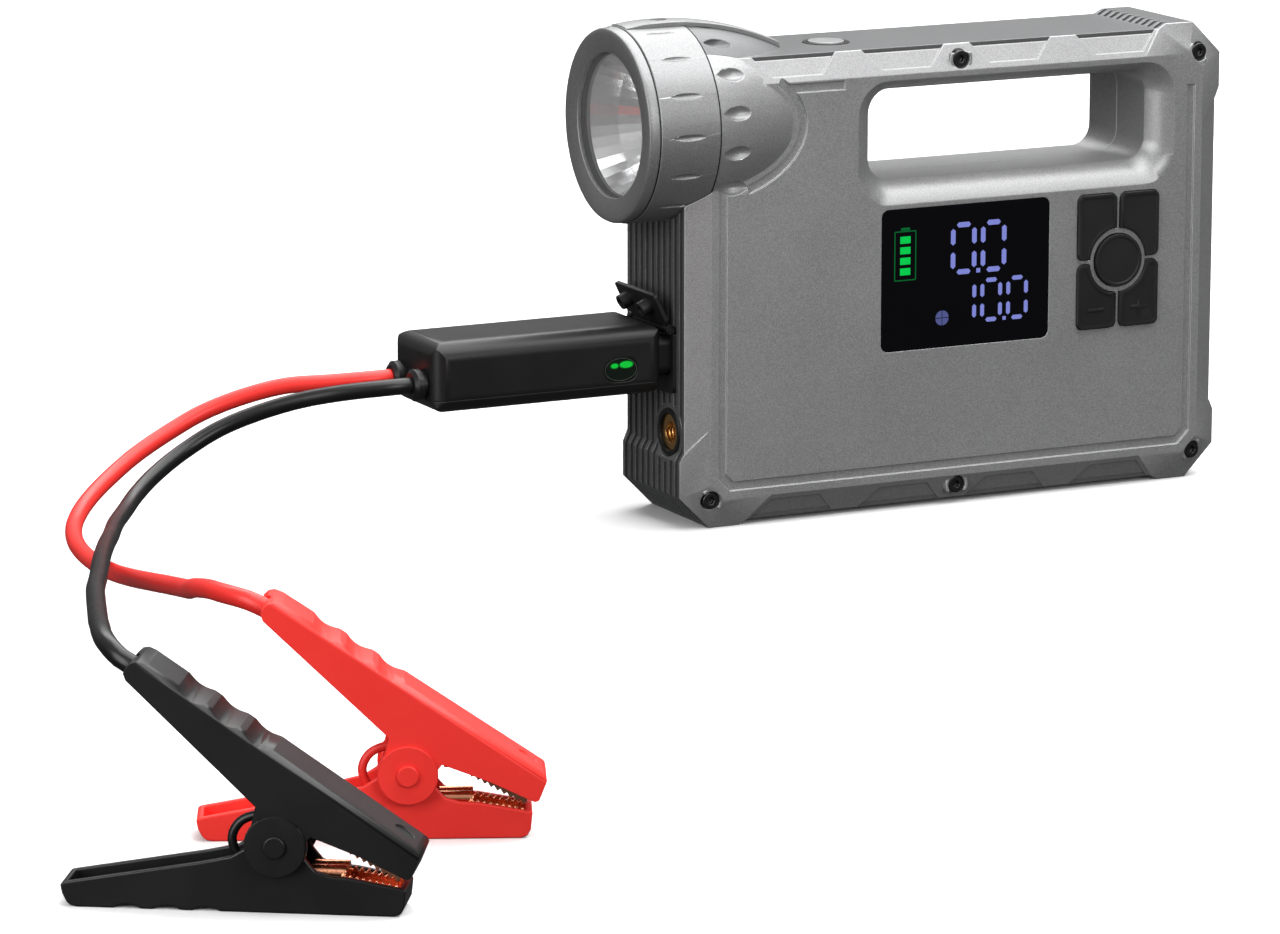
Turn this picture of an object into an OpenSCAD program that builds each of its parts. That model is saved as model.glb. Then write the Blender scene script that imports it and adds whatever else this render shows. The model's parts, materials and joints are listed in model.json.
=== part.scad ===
// Jump starter pack with work lamp, air pump and clamp leads. Millimetres, +Z up.
// The front face looks along -Y, the lamp along -X, and the pack stands on z = 0.

/* [Casing] */
// Width between the two side faces
body_w = 229.8; // [222:0.2:238]
// Height between the top and bottom faces
body_h = 175.4; // [172:0.2:182]
// Depth from the front face to the rear face
body_d = 58; // [56:0.5:62]
// Wall of the ribbed side band
band_t = 3.2; // [2.8:0.1:3.6]
// Wall of the front and rear shells
shell_t = 2.8; // [2.4:0.1:3.2]
// How far the edge chamfers run back from the face
chamfer_d = 5; // [4:0.5:6]
// How far the side chamfers run in from the side faces
chamfer_x = 8.7; // [7:0.1:10]
// How far the top and bottom chamfers run in from those faces
chamfer_z = 9.7; // [8:0.1:10.5]

/* [Corner bumpers] */
// How far the bumpers stand proud of the faces
bump_h = 1.9; // [1:0.1:2.5]
// Corner cut of a bumper
bump_cut = 12.5; // [10:0.5:14]
// Length of a bumper along the top or bottom
bump_x = 22.8; // [20:0.2:26]
// Length of a bumper along the side
bump_z = 24; // [20:0.5:28]
// Ramp at the end of a bumper
bump_ramp = 3.4; // [2:0.1:5]
// Distance between two ribs
rib_pitch = 4.7; // [4.2:0.1:6]
// Width of the groove between two ribs
rib_gap = 2.3; // [1.5:0.1:2.8]
// Depth of the grooves
rib_deep = 1.7; // [1:0.1:2]

/* [Chamfer pockets] */
// Distance between two pockets
pocket_pitch = 46.4; // [44:0.2:48]
// Half width of a pocket at the outer edge
pocket_wide = 18.7; // [16:0.1:20]
// Half width of a pocket at the face edge
pocket_narrow = 10.4; // [8:0.1:13]
// Depth of the pockets
pocket_deep = 0.7; // [0.3:0.1:0.9]

/* [Handle] */
// Width of the hand opening
hand_w = 121; // [112:1:124]
// Height of the hand opening
hand_h = 34.4; // [30:0.2:35]
// Middle of the hand opening from the middle of the casing
hand_x = 24.8; // [22:0.2:27]
// Underside of the grip below the casing top
hand_drop = 16.1; // [15:0.1:17]
// Corner radius of the hand opening
hand_r = 8.5; // [7:0.5:10]
// Slope around the opening, sides and bottom
bowl_side = 8.6; // [7:0.1:9.5]
// Slope above the opening
bowl_top = 4.2; // [3:0.1:4.4]
// Wall around the opening
hand_t = 2.6; // [2:0.1:3]

/* [Front panel] */
// Width of the display window
window_w = 73; // [64:0.5:74]
// Height of the display window
window_h = 54.6; // [50:0.2:55]
// Middle of the display from the middle of the casing
window_x = 2.4; // [0:0.2:3]
// Corner radius of the display window
window_r = 3; // [2:0.5:5]
// Thickness of the display window
window_t = 2; // [1.5:0.1:2.2]
// Width of one quarter button
key_w = 16.8; // [15:0.1:17.4]
// Height of one quarter button
key_h = 25.2; // [22:0.1:26]
// Distance between the button columns
key_pitch_x = 18.7; // [18.2:0.1:19.5]
// Distance between the button rows
key_pitch_z = 27; // [26.6:0.1:29]
// Middle of the button block from the middle of the casing
key_x = 69.2; // [68:0.2:71]
// Radius of the middle button
power_r = 10.2; // [8.5:0.1:10.5]
// Width of the ring between the middle button and the others
web_w = 1.9; // [1.2:0.1:2.2]
// Gap round each button
key_gap = 0.3; // [0.2:0.05:0.4]
// Width of the raised rim of each button
key_rim = 1.3; // [1:0.1:1.8]
// Depth of the button faces behind their rims
key_dish = 0.4; // [0.2:0.05:0.6]
// How far the buttons stand out
key_proud = 1.2; // [0.8:0.1:1.6]
// Button travel
key_travel = 1; // [0.6:0.1:1.2]
// Width of the decorative channel
channel_w = 3.4; // [2.5:0.1:4]
// Depth of the decorative channel
channel_deep = 0.9; // [0.5:0.1:1.2]

/* [Lamp] */
// Lamp axis below the casing top
lamp_drop = 25.6; // [24:0.2:28]
// Radius of the lamp barrel
lamp_r = 37; // [35:0.5:38]
// Front of the lamp beyond the side face
lamp_reach = 20.6; // [18:0.2:24]
// Length of the bezel
bezel_l = 4.7; // [4.2:0.1:6]
// Length of the ring behind the bezel
ring_l = 24.7; // [22:0.1:27]
// Radius of the lamp opening
lens_r = 27.2; // [24:0.2:29]
// Thickness of the lens
lens_t = 2; // [1.6:0.1:2.4]
// Wall of the ring and the dome
lamp_t = 3; // [2.5:0.1:3.5]
// Radius of the curve that closes the dome
dome_curve = 112; // [100:1:125]
// Length of the tongue over the dome
tongue_l = 40; // [34:1:44]
// Width of the tongue
tongue_w = 13; // [10:0.5:16]
// Height of the tongue above the lamp
tongue_t = 1.7; // [1.5:0.1:2.2]

/* [Top switch] */
// Radius of the top button
switch_r = 7; // [6:0.1:8]
// Middle of the top button from the middle of the casing
switch_x = -43; // [-46:0.5:-41]

/* [Screws] */
// Radius of the screw heads
screw_r = 3.2; // [2.8:0.1:3.5]
// Radius of the screw shafts
shaft_r = 1.75; // [1.5:0.05:2]
// Screw height from the middle at the corners
screw_z = 78.3; // [77:0.1:79]
// Screw distance from the middle at the corners
screw_x = 105.3; // [104:0.1:106]

/* [Jump socket] */
// Width of the socket frame
socket_w = 34; // [32:0.5:35]
// Height of the socket frame
socket_h = 25; // [22:0.5:26]
// Depth of the socket
socket_d = 19; // [16:0.5:22]
// Height of the socket middle from the middle of the casing
socket_z = -26.4; // [-28:0.2:-25]
// Width of the plug
plug_w = 30; // [28:0.5:30.5]
// Height of the plug
plug_h = 15.6; // [13:0.2:16]
// Distance between the two contacts
contact_pitch = 16.6; // [15:0.2:18]
// Radius of a contact pin
contact_r = 3.2; // [2.6:0.1:3.4]
// Length of the contact pins
contact_l = 14; // [12:0.5:16]
// Length of the rubber flap
flap_l = 15.3; // [14:0.1:16]
// Thickness of the rubber flap
flap_t = 1.6; // [1.2:0.1:1.8]
// Angle of the open flap from closed
flap_open = 154; // [153:1:165]

/* [Air outlet] */
// Radius of the thread bore
air_bore = 4; // [3.5:0.1:4.5]
// Outer radius of the brass outlet
air_r = 7; // [6.4:0.1:7.5]
// Length of the brass outlet
air_l = 14; // [12:0.5:16]
// Air outlet position across the side
air_y = -11.5; // [-12:0.5:-10.5]
// Air outlet position below the middle of the casing
air_z = -54; // [-56:0.5:-53]

/* [Inner works] */
// Width of the main board
board_w = 116; // [110:1:118]
// Height of the main board
board_h = 56; // [54:0.5:58]
// Radius of a battery cell
cell_r = 10.6; // [9:0.1:10.8]
// Length of a battery cell
cell_l = 70; // [65:0.5:72]
// Distance between two cells
cell_pitch = 22; // [21.8:0.1:22.2]
// Radius of the pump motor
motor_r = 17; // [15:0.5:17.5]
// Length of the pump motor
motor_l = 48; // [40:1:50]

/* [Lead box] */
// Length of the lead box
box_l = 95; // [85:0.5:105]
// Width of the lead box
box_w = 38; // [34:0.5:40]
// Height of the lead box
box_h = 26.6; // [24:0.2:28]
// Edge radius of the lead box
box_r = 7; // [4:0.5:8]
// Wall of the lead box
box_t = 2; // [1.6:0.1:2.4]
// Gap between the casing side and the lead box
box_gap = 5.2; // [4.6:0.1:7]
// Diameter of the leads
lead_d = 6.2; // [5.5:0.1:6.4]
// Distance between the two leads at the box
lead_pitch = 18; // [16:0.5:20]
// Length of the collars at the box
collar_l = 5; // [4:0.5:6]

/* [Clamps] */
// Width of the upper lever
clamp_w = 20; // [19:0.5:22]
// Radius along the top edges of the upper lever
back_r = 2.4; // [1.5:0.1:3]
// Wall of the levers
clamp_t = 2; // [1.8:0.1:2.2]
// Gap between the levers at the pivot
clamp_gap = 0.3; // [0.2:0.05:0.4]
// Pivot distance from the rear end
pivot_u = 62; // [61:0.5:63]
// Pivot height
pivot_v = 20.8; // [20:0.2:21.6]
// Radius of the pivot disc
pivot_r = 9.3; // [8.8:0.1:9.6]
// Radius of the pivot pin
pin_r = 2.5; // [2:0.1:2.8]
// Running clearance of the pivot pin
pin_fit = 0.06; // [0.02:0.01:0.1]
// Wire radius of the clamp spring
spring_wire = 0.8; // [0.6:0.05:0.9]
// Radius of the clamp spring
spring_r = 5.4; // [5:0.1:5.8]
// Rise of the clamp spring per turn
spring_rise = 2.1; // [2.05:0.05:2.3]
// Wire radius of the jumper
jumper_r = 1.4; // [1:0.1:1.5]

/* [Hidden] */
$fn = 48;
eps = 0.02;

// derived casing sizes, all from the middle of the casing
hw = body_w / 2;
hh = body_h / 2;
hd = body_d / 2;
face_w = hw - chamfer_x;
face_h = hh - chamfer_z;
band_d = hd - chamfer_d;
mid_z = hh + bump_h;
shift_x = (hw + lamp_reach - hw - bump_h) / 2;
in_x = hw - band_t;
in_z = hh - band_t;
in_d = hd - shell_t;
rib_count = floor(2 * band_d / rib_pitch);

// handle opening, and how the slope round it curves: share of its width, share of its depth
bowl_r = 13;
bowl_wall = [[1, 0], [0, 1]];
bowl_curve = [[1, 0], [0.57, 0.23], [0.23, 0.57], [0, 1]];
hand_top = hh - hand_drop;
hand_low = hand_top - hand_h;
hand_mid = (hand_top + hand_low) / 2;

// lamp stations along -X, from the middle of the casing
lamp_z = hh - lamp_drop;
bezel_x = -hw - lamp_reach;
ring_x = bezel_x + bezel_l;
dome_x = ring_x + ring_l;
dome_start = dome_x - 7;
dome_end = dome_x + tongue_l;
grip_turn = 24;
dent_x = dome_x + 8.6;

// buttons and screws
key_face = -hd - key_proud;
flange_t = 1.2;
barb_r = 2.8;
key_rest = -in_d;
board_y = key_rest + flange_t + key_travel + 2.4;
cell_x = 0.113 * body_w;
cell_y = in_d - cell_r - 3.6;
cell_low = cell_r + 1.8 - in_z;
rack_h = 3 * cell_pitch + 2 * cell_r + 3.6;
motor_y = 4;
motor_x = -52;
screw_spots = [[screw_x, screw_z], [screw_x, -screw_z], [-screw_x, -screw_z],
    [0, face_h + 4.1], [0, -face_h - 4.1]];
screw_head = 3;
screw_seat = -hd + 4.4;
screw_l = 22;
post_y = band_d - 4;

// jump socket, flap and lead box
socket_face = -hw - 1.1;
flap_x = -hw - 1.9;
flap_z = socket_z + socket_h / 2 - 0.1;
flap_back = 0.7;
ear_r = 1.8;
rod_r = 1;
peg_z = 10;
contact_z = flap_z - peg_z;
box_x = -hw - box_gap - box_l;
box_z = socket_z + 2;
collar_z = box_z - 3;
split_z = box_z - 8.2;
light_z = box_z - 2.4;
window_z = -0.5;

// clamps: place and heading on the floor, lower width and pivot angle of the spring
red_spot = [-427.2, -336.6];
red_heading = -24;
black_spot = [-488.4, -384.4];
black_heading = -33;
low_w = clamp_w - 2 * clamp_t - 2 * clamp_gap;
trough_w = low_w - 2 * clamp_t;
floor_v = clamp_t + 0.4;

// lead rings
lead_sides = 10;
lead_step = 16;

function shifted(points, by) = [for (p = points) p + by];
function unit(v) = v / norm(v);

// outline of the casing seen from the front, with its bumpers, drawn in by d
function cut_in(d) = bump_cut - 0.586 * d;
function corner(sx, sz, d) = let (w = hw - d, h = hh - d, b = bump_h, c = cut_in(d))
    [[sx * w, sz * (hh - bump_z - bump_ramp)], [sx * (w + b), sz * (hh - bump_z)],
     [sx * (w + b), sz * (h + b - c)], [sx * (w + b - c), sz * (h + b)],
     [sx * (hw - bump_x), sz * (h + b)], [sx * (hw - bump_x - bump_ramp), sz * h]];
function flip(list) = [for (i = [len(list) - 1:-1:0]) list[i]];
function outline(d) = concat(corner(1, 1, d), flip(corner(-1, 1, d)), corner(-1, -1, d),
    flip(corner(1, -1, d)));
function octagon(w, h, c) = [[w, h - c], [w - c, h], [c - w, h], [-w, h - c],
    [-w, c - h], [c - w, -h], [w - c, -h], [w, c - h]];

module along_y(y0, y1) translate([0, y1, 0]) rotate([90, 0, 0]) linear_extrude(y1 - y0) children();
module along_x(x0, x1) translate([x0, 0, 0]) rotate([90, 0, 90]) linear_extrude(x1 - x0) children();
module rod_y(x, z, r, y0, y1) translate([x, y0, z]) rotate([-90, 0, 0]) cylinder(r = r, h = y1 - y0);
module rod_x(y, z, r, x0, x1) translate([x0, y, z]) rotate([0, 90, 0]) cylinder(r = r, h = x1 - x0);
module rounded(w, h, r) {
    square([w - 2 * r, h], center = true);
    square([w, h - 2 * r], center = true);
    for (x = [r - w / 2, w / 2 - r], y = [r - h / 2, h / 2 - r]) translate([x, y]) circle(r);
}
module at_casing() translate([shift_x, 0, mid_z]) children();

// plan of a body whose front and rear edges are chamfered
function chamfered(half, face) = [[-half, -band_d], [-face, -hd], [face, -hd], [half, -band_d],
    [half, band_d], [face, hd], [-face, hd], [-half, band_d]];
module slopes(w, h) {
    intersection_for (side = [0, 1]) if (side == 0) {
        translate([0, 0, -200]) linear_extrude(400) polygon(chamfered(w, face_w));
    } else {
        rotate([90, 0, 90]) translate([0, 0, -200]) linear_extrude(400)
            rotate(90) mirror([0, 1]) polygon(chamfered(h, face_h));
    }
}
module corner_slopes() {
    reach = (hw + hh + 2 * bump_h - bump_cut) / sqrt(2);
    face = reach - (chamfer_x + chamfer_z) / 2 - bump_h;
    intersection_for (turn = [45, -45])
        rotate([0, turn, 0]) translate([0, 0, -200]) linear_extrude(400) polygon(chamfered(reach, face));
}
module bumper(sx, sz) {
    face_end = [sx * (hw - bump_x - bump_ramp - chamfer_x + 0.4), sz * face_h];
    side_end = [sx * face_w, sz * (hh - bump_z - bump_ramp - chamfer_z)];
    edge = corner(sx, sz, 0);
    deep = [sx * (face_w - 12), sz * (face_h - 12)];
    intersection() {
        along_y(-hd, hd) polygon(concat([deep, side_end], edge, [face_end]));
        slopes(hw + bump_h, hh + bump_h);
        corner_slopes();
    }
}
module casing_solid() {
    intersection() {
        along_y(-hd, hd) polygon(octagon(hw, hh, bump_cut));
        slopes(hw, hh);
        corner_slopes();
    }
    for (side = [[1, 1], [1, -1], [-1, -1]]) bumper(side[0], side[1]);
}
module casing_hollow() {
    w = in_x - 7;
    h = in_z - 7;
    intersection() {
        along_y(-in_d, in_d) polygon(octagon(in_x, in_z, bump_cut));
        translate([0, 0, -200]) linear_extrude(400)
            polygon([[-in_x, -band_d + 2], [-w, -in_d], [w, -in_d], [in_x, -band_d + 2],
                [in_x, band_d - 2], [w, in_d], [-w, in_d], [-in_x, band_d - 2]]);
        rotate([90, 0, 90]) translate([0, 0, -200]) linear_extrude(400)
            polygon([[-band_d + 2, in_z], [-in_d, h], [-in_d, -h], [-band_d + 2, -in_z],
                [band_d - 2, -in_z], [in_d, -h], [in_d, h], [band_d - 2, in_z]]);
    }
}

// grooves between the ribs: down both sides, the corner cuts and the ramps of the bumpers
module rib_grooves() {
    flat_from = hw - bump_x + 2;
    flat_to = hw + bump_h - bump_cut + 1;
    for (i = [1:rib_count]) {
        y = (i - (rib_count + 1) / 2) * rib_pitch;
        along_y(y - rib_gap / 2, y + rib_gap / 2) difference() {
            union() for (side = [-1, 1]) translate([side * (hw + 5), 0])
                square([2 * (bump_x + bump_ramp + 5), 2 * mid_z + 10], center = true);
            polygon(outline(rib_deep));
            for (sx = [-1, 1], sz = [-1, 1]) translate([sx * (flat_from + flat_to) / 2, sz * (hh + 3)])
                square([flat_to - flat_from, 12], center = true);
        }
    }
}

// handle opening: straight hole and the sloping bowl in front of it
module hand_shape(grow = 0) translate([hand_x, hand_mid])
    rounded(hand_w + 2 * grow, hand_h + 2 * grow, hand_r + grow);
module bowl_slice(out, deep, grow) along_y(-hd + deep * bowl_side, -hd + deep * bowl_side + 0.01)
    translate([hand_x, hand_mid + out * (bowl_top - bowl_side) / 2])
        rounded(hand_w + 2 * (out * bowl_side + grow), hand_h + out * (bowl_top + bowl_side) + 2 * grow,
            hand_r + out * (bowl_r - hand_r) + grow, $fn = 32);
module bowl(steps, grow = 0) for (i = [0:len(steps) - 2]) hull() {
    bowl_slice(steps[i][0], steps[i][1], grow);
    bowl_slice(steps[i + 1][0], steps[i + 1][1], grow);
}
module hand_hole(grow = 0, y0 = -hd, y1 = hd) along_y(y0, y1) hand_shape(grow);

// lamp surface: radius of the dome at a station, and the solid of revolution
function dome_radius(x) = lamp_r - dome_curve + sqrt(pow(dome_curve, 2) - pow(x - dome_start, 2));
module dome(in = 0, x0 = dome_x, x1 = dome_end + 4) {
    translate([0, 0, lamp_z]) rotate([0, 90, 0]) rotate_extrude($fn = 96) intersection() {
        translate([lamp_r - dome_curve, dome_start]) circle(dome_curve - in, $fn = 200);
        translate([0, x0]) square([lamp_r + 5, x1 - x0]);
    }
}
module lamp_rod(r, x0, x1) rod_x(0, lamp_z, r, x0, x1, $fn = 96);
module dents(r_at, x, long, deep, first) {
    bow = (long * long + deep * deep) / (2 * deep);
    for (a = [first:grip_turn:first + 359]) translate([x, 0, lamp_z]) rotate([a, 0, 0])
        translate([0, 0, r_at]) rotate([0, 90, 0]) rotate_extrude($fn = 24) intersection() {
            translate([deep - bow, 0]) circle(bow, $fn = 96);
            translate([0, -long - 2]) square([deep + 1, 2 * long + 4]);
        }
}

// trapezoid pockets in the top and bottom chamfers
module pockets() {
    lean = atan(chamfer_z / chamfer_d);
    for (flip_z = [0, 1], flip_y = [0, 1], i = [-1.5:1.5])
        mirror([0, 0, flip_z]) mirror([0, flip_y, 0]) intersection() {
            along_y(-hd - 1, -band_d + 0.4) polygon(shifted([[-pocket_narrow, face_h + 2],
                [pocket_narrow, face_h + 2], [pocket_wide, hh + 1], [-pocket_wide, hh + 1]],
                [i * pocket_pitch, 0]));
            translate([-hw, -hd, face_h]) rotate([lean, 0, 0])
                translate([0, 0, -pocket_deep]) cube([body_w, 40, 20]);
        }
}

// where the dome meets the front face, moved out by d, for the channel beside it
function meet_x(z) = dome_start
    + sqrt(pow(dome_curve, 2) - pow(dome_curve - lamp_r + sqrt(hd * hd + pow(z - lamp_z, 2)), 2));
function meet_out(z, d) = let (n = unit([0.2, meet_x(z - 0.1) - meet_x(z + 0.1)]))
    [meet_x(z) + n[0] * d, z + n[1] * d];
module channel() {
    out = [hw - 12, hh - 12.7];
    d = [out[0] - channel_w, out[1] - channel_w];
    steps = [for (i = [0:16]) lamp_z - 19.6 + i * 33 / 16];
    left = meet_out(steps[0], 2.2)[1];
    polygon([[-out[0], left], [-out[0], 5 - out[1]], [5 - out[0], -out[1]],
        [out[0] - 5, -out[1]], [out[0], 5 - out[1]], [out[0], face_h - 12], [d[0], face_h - 12],
        [d[0], 3 - d[1]], [d[0] - 3, -d[1]], [3 - d[0], -d[1]], [-d[0], 3 - d[1]],
        [-d[0], left - 2]]);
    polygon(concat([for (z = steps) meet_out(z, 2.2)],
        [for (i = [16:-1:0]) meet_out(steps[i], 2.2 + channel_w)]));
    last = meet_out(steps[16], 2.2);
    polygon([last, [-50, last[1]], [-50, last[1] - channel_w], [last[0] + 4, last[1] - channel_w]]);
}

// front panel shapes
module window_shape(in = 0) translate([window_x, window_z])
    rounded(window_w - 2 * in, window_h - 2 * in, window_r);
module key_shape(sx, sz, grow = 0) difference() {
    translate([key_x + sx * key_pitch_x / 2, sz * key_pitch_z / 2])
        rounded(key_w + 2 * grow, key_h + 2 * grow, 2.4 + grow);
    translate([key_x, 0]) circle(power_r + 2 * key_gap + web_w - grow);
}
module power_shape(grow = 0) translate([key_x, 0]) circle(power_r + grow);

module shell_body() {
    difference() {
        union() {
            difference() {
                casing_solid();
                casing_hollow();
                lamp_rod(lamp_r + 0.2, -hw - 30, dome_x);
            }
            intersection() {
                bowl(bowl_wall, hand_t);
                casing_solid();
            }
            hand_hole(hand_t, -hd + shell_t, -0.1);
            screw_posts(-in_d - 2, -post_y);
        }
        dome(lamp_t);
        pockets();
    }
}
module screw_posts(y0, y1, grow = 0) intersection() {
    union() {
        for (s = screw_spots) rod_y(s[0], s[1], screw_r + 1.6, y0, y1);
        for (s = [for (i = [0:2]) screw_spots[i]]) along_y(y0, y1) translate(s)
            rotate(atan2(sign(s[1]), sign(s[0]))) translate([0, -2]) square([bump_cut, 4]);
    }
    union() {
        casing_hollow();
        along_y(-in_d - 2, -in_d) polygon(octagon(in_x, in_z, bump_cut));
        along_y(-post_y, post_y) polygon(octagon(in_x + grow, in_z + grow, bump_cut));
    }
}
module screw_bores(r, y0, y1) for (s = screw_spots) rod_y(s[0], s[1], r, y0, y1);
module front_cutter(y1) translate([-body_w, -body_d, -body_h])
    cube([2 * body_w, body_d + y1, 2 * body_h]);

module front_shell() color("#7d7f82") at_casing() difference() {
    intersection() {
        union() {
            shell_body();
            difference() {
                dome();
                dome(lamp_t);
            }
        }
        union() {
            front_cutter(-band_d);
            intersection() {
                union() {
                    bowl(bowl_wall, hand_t);
                    hand_hole(hand_t, -hd, -0.1);
                }
                casing_hollow();
            }
        }
    }
    bowl(bowl_curve);
    hand_hole(0);
    front_face_cuts();
    dents(dome_radius(dent_x) + 0.8, dent_x, 7.2, 2.9, 31);
    screw_bores(screw_r + 0.5, -hd - 5, screw_seat);
    screw_bores(shaft_r + 0.3, -hd - 1, -post_y + 1);
}
module front_face_cuts() {
    along_y(-hd - 1, -hd + window_t) window_shape();
    along_y(-hd - 1, 0) window_shape(3);
    along_y(-hd - 1, -hd + channel_deep) channel();
    for (sx = [-1, 1], sz = [-1, 1]) along_y(-hd - 1, -in_d + 1) key_shape(sx, sz, key_gap);
    along_y(-hd - 1, -in_d + 1) power_shape(key_gap);
}

module rear_shell() color("#77797c") at_casing() difference() {
    mirror([0, 1, 0]) intersection() {
        union() {
            shell_body();
            difference() {
                dome();
                dome(lamp_t);
            }
        }
        union() {
            front_cutter(-band_d);
            intersection() {
                union() {
                    bowl(bowl_wall, hand_t);
                    hand_hole(hand_t, -hd, -0.1);
                }
                casing_hollow();
            }
        }
    }
    mirror([0, 1, 0]) bowl(bowl_curve);
    hand_hole(0);
    dents(dome_radius(dent_x) + 0.8, dent_x, 7.2, 2.9, 31);
}

module side_band() color("#6f7174") at_casing() difference() {
    union() {
        intersection() {
            difference() {
                casing_solid();
                casing_hollow();
                lamp_rod(lamp_r + 0.2, -hw - 30, dome_x);
                dome(lamp_t);
            }
            along_y(-band_d, band_d) square([300, 300], center = true);
        }
        intersection() {
            difference() {
                dome();
                dome(lamp_t);
                casing_hollow();
            }
            along_y(-band_d, band_d) square([300, 300], center = true);
        }
        screw_posts(-post_y, post_y, 1);
    }
    screw_bores(shaft_r + 0.3, -band_d - 1, -post_y);
    screw_bores(shaft_r + 0.05, -post_y - 1, screw_seat + screw_l + 1);
    difference() {
        rib_grooves();
        rod_x(air_y, air_z, air_r + 4.2, -hw - 5, -hw + 5);
        dome();
    }
    along_x(-hw - 5, -in_x + 1) translate([0, socket_z]) rounded(socket_w, socket_h, 3);
    rod_x(air_y, air_z, air_r + 2.3, -hw - 5, -in_x + 1);
    translate([switch_x, 0, in_z - 1]) cylinder(r = switch_r + 2, h = band_t + 5);
    dents(dome_radius(dent_x) + 0.8, dent_x, 7.2, 2.9, 31);
}

module display_window() color("#0b0c0e") at_casing() along_y(-hd, -hd + window_t) window_shape(0.1);
module display_panel() color("#20242a") at_casing()
    along_y(-hd + window_t, -hd + window_t + 3) window_shape(3.1);

module main_board() color("#1f5a38") at_casing() {
    along_y(board_y, board_y + 1.6) translate([window_x + window_w / 4, 0])
        rounded(board_w, board_h, 2);
    along_y(-hd + window_t + 3, board_y) translate([window_x, window_z])
        rounded(window_w - 16, window_h - 16, 3);
    for (sx = [-1, 1], sz = [-1, 1])
        rod_y(key_x + sx * key_pitch_x / 2, sz * key_pitch_z / 2 + sz * 2, 2.4,
            board_y - 2.2, board_y);
    rod_y(key_x, 0, 2.4, board_y - 2.2, board_y);
    along_y(board_y + 1.6, board_y + 6) translate([window_x - 20, 0]) rounded(30, 20, 1);
}

module key(sx, sz) at_casing() {
    difference() {
        along_y(key_face, key_rest) key_shape(sx, sz);
        along_y(key_face - 1, key_face + key_dish) key_shape(sx, sz, -key_rim);
    }
    along_y(key_rest, key_rest + flange_t) difference() {
        translate([key_x + sx * key_pitch_x / 2, sz * key_pitch_z / 2])
            rounded(key_w + 1.2, key_h + 1.2, 2.4);
        translate([key_x, 0]) circle(power_r + 2.4);
    }
}
module mode_button() color("#17181a") key(-1, 1);
module air_button() color("#17181a") key(1, 1);
module key_bar(sx, w, h) at_casing() along_y(key_face + 0.1, key_face + key_dish + 0.2)
    translate([key_x + sx * (key_pitch_x / 2 + 0.4), -key_pitch_z / 2 - 5.4]) square([w, h], center = true);
module minus_button() color("#17181a") {
    key(-1, -1);
    key_bar(-1, 7, 1.2);
}
module plus_button() color("#17181a") {
    key(1, -1);
    key_bar(1, 7, 1.2);
    key_bar(1, 1.2, 7);
}
module power_button() color("#17181a") at_casing() {
    difference() {
        along_y(key_face - 0.4, key_rest) power_shape();
        along_y(key_face - 1, key_face + key_dish - 0.4) power_shape(-key_rim);
    }
    along_y(key_rest, key_rest + flange_t) power_shape(1.2);
}
module top_switch() color("#85878a") at_casing() {
    translate([switch_x, 0, hh - 1.2]) cylinder(r = switch_r, h = 1.9);
    translate([switch_x, 0, in_z - 3]) cylinder(r = switch_r - 1, h = band_t + 2);
}
module top_switch_ring() color("#141516") at_casing() translate([switch_x, 0, 0]) difference() {
    union() {
        translate([0, 0, in_z - 1.2]) cylinder(r = switch_r + 3.5, h = 1.2);
        translate([0, 0, in_z]) cylinder(r = switch_r + 1.9, h = band_t + 0.3);
    }
    translate([0, 0, in_z - 3]) cylinder(r = switch_r - 0.8, h = band_t + 5);
    translate([0, 0, hh - 2.1]) cylinder(r = switch_r + 0.2, h = 5);
}

module case_screws() color("#1a1a1b") at_casing() for (s = screw_spots) difference() {
    union() {
        rod_y(s[0], s[1], screw_r, screw_seat - screw_head, screw_seat);
        rod_y(s[0], s[1], shaft_r, screw_seat, screw_seat + screw_l);
    }
    translate([s[0], screw_seat - screw_head - 1, s[1]]) rotate([-90, 0, 0])
        cylinder(r = 1.5, h = 2.6, $fn = 6);
}

// inner works
module battery_cells() color("#3f6fa8") at_casing()
    for (i = [0:3]) rod_x(cell_y, cell_low + i * cell_pitch, cell_r, cell_x, cell_x + cell_l);
module cell_holder() color("#2a2b2d") at_casing() difference() {
    intersection() {
        union() {
            for (x = [cell_x - 2, cell_x + cell_l - 8])
                translate([x, -2, -in_z]) cube([10, in_d + 2, rack_h]);
            translate([cell_x - 2, in_d - 2, -in_z]) cube([cell_l + 4, 2, rack_h]);
        }
        casing_hollow();
    }
    for (i = [0:3]) rod_x(cell_y, cell_low + i * cell_pitch, cell_r + 0.05, cell_x - 0.1,
        cell_x + cell_l + 0.1);
}
module pump_motor() color("#9a9ca0") at_casing() {
    rod_x(motor_y, air_z, motor_r, motor_x, motor_x + motor_l);
    rod_x(motor_y, air_z, 3, motor_x - 6, motor_x);
    translate([motor_x + motor_l / 4, motor_y - 14, -in_z])
        cube([motor_l / 2, 28, in_z + air_z + 5 - motor_r]);
}
module pump_cylinder() color("#b4b6b9") at_casing() difference() {
    union() {
        translate([motor_x - 20, motor_y - 14, air_z - 16]) cube([14, 28, 34]);
        rod_x(air_y + 4, air_z, 6, motor_x - 32, motor_x - 20);
    }
    rod_x(motor_y, air_z, 3.05, motor_x - 14, motor_x - 5);
}
module air_tube() color("#2d2e30") at_casing() difference() {
    rod_x(air_y, air_z, barb_r + 1.2, -hw + air_l - 4, motor_x - 20);
    rod_x(air_y, air_z, barb_r + 0.03, -hw, motor_x - 8);
    rod_x(air_y + 4, air_z, 6.05, motor_x - 32, motor_x - 18);
}
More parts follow.
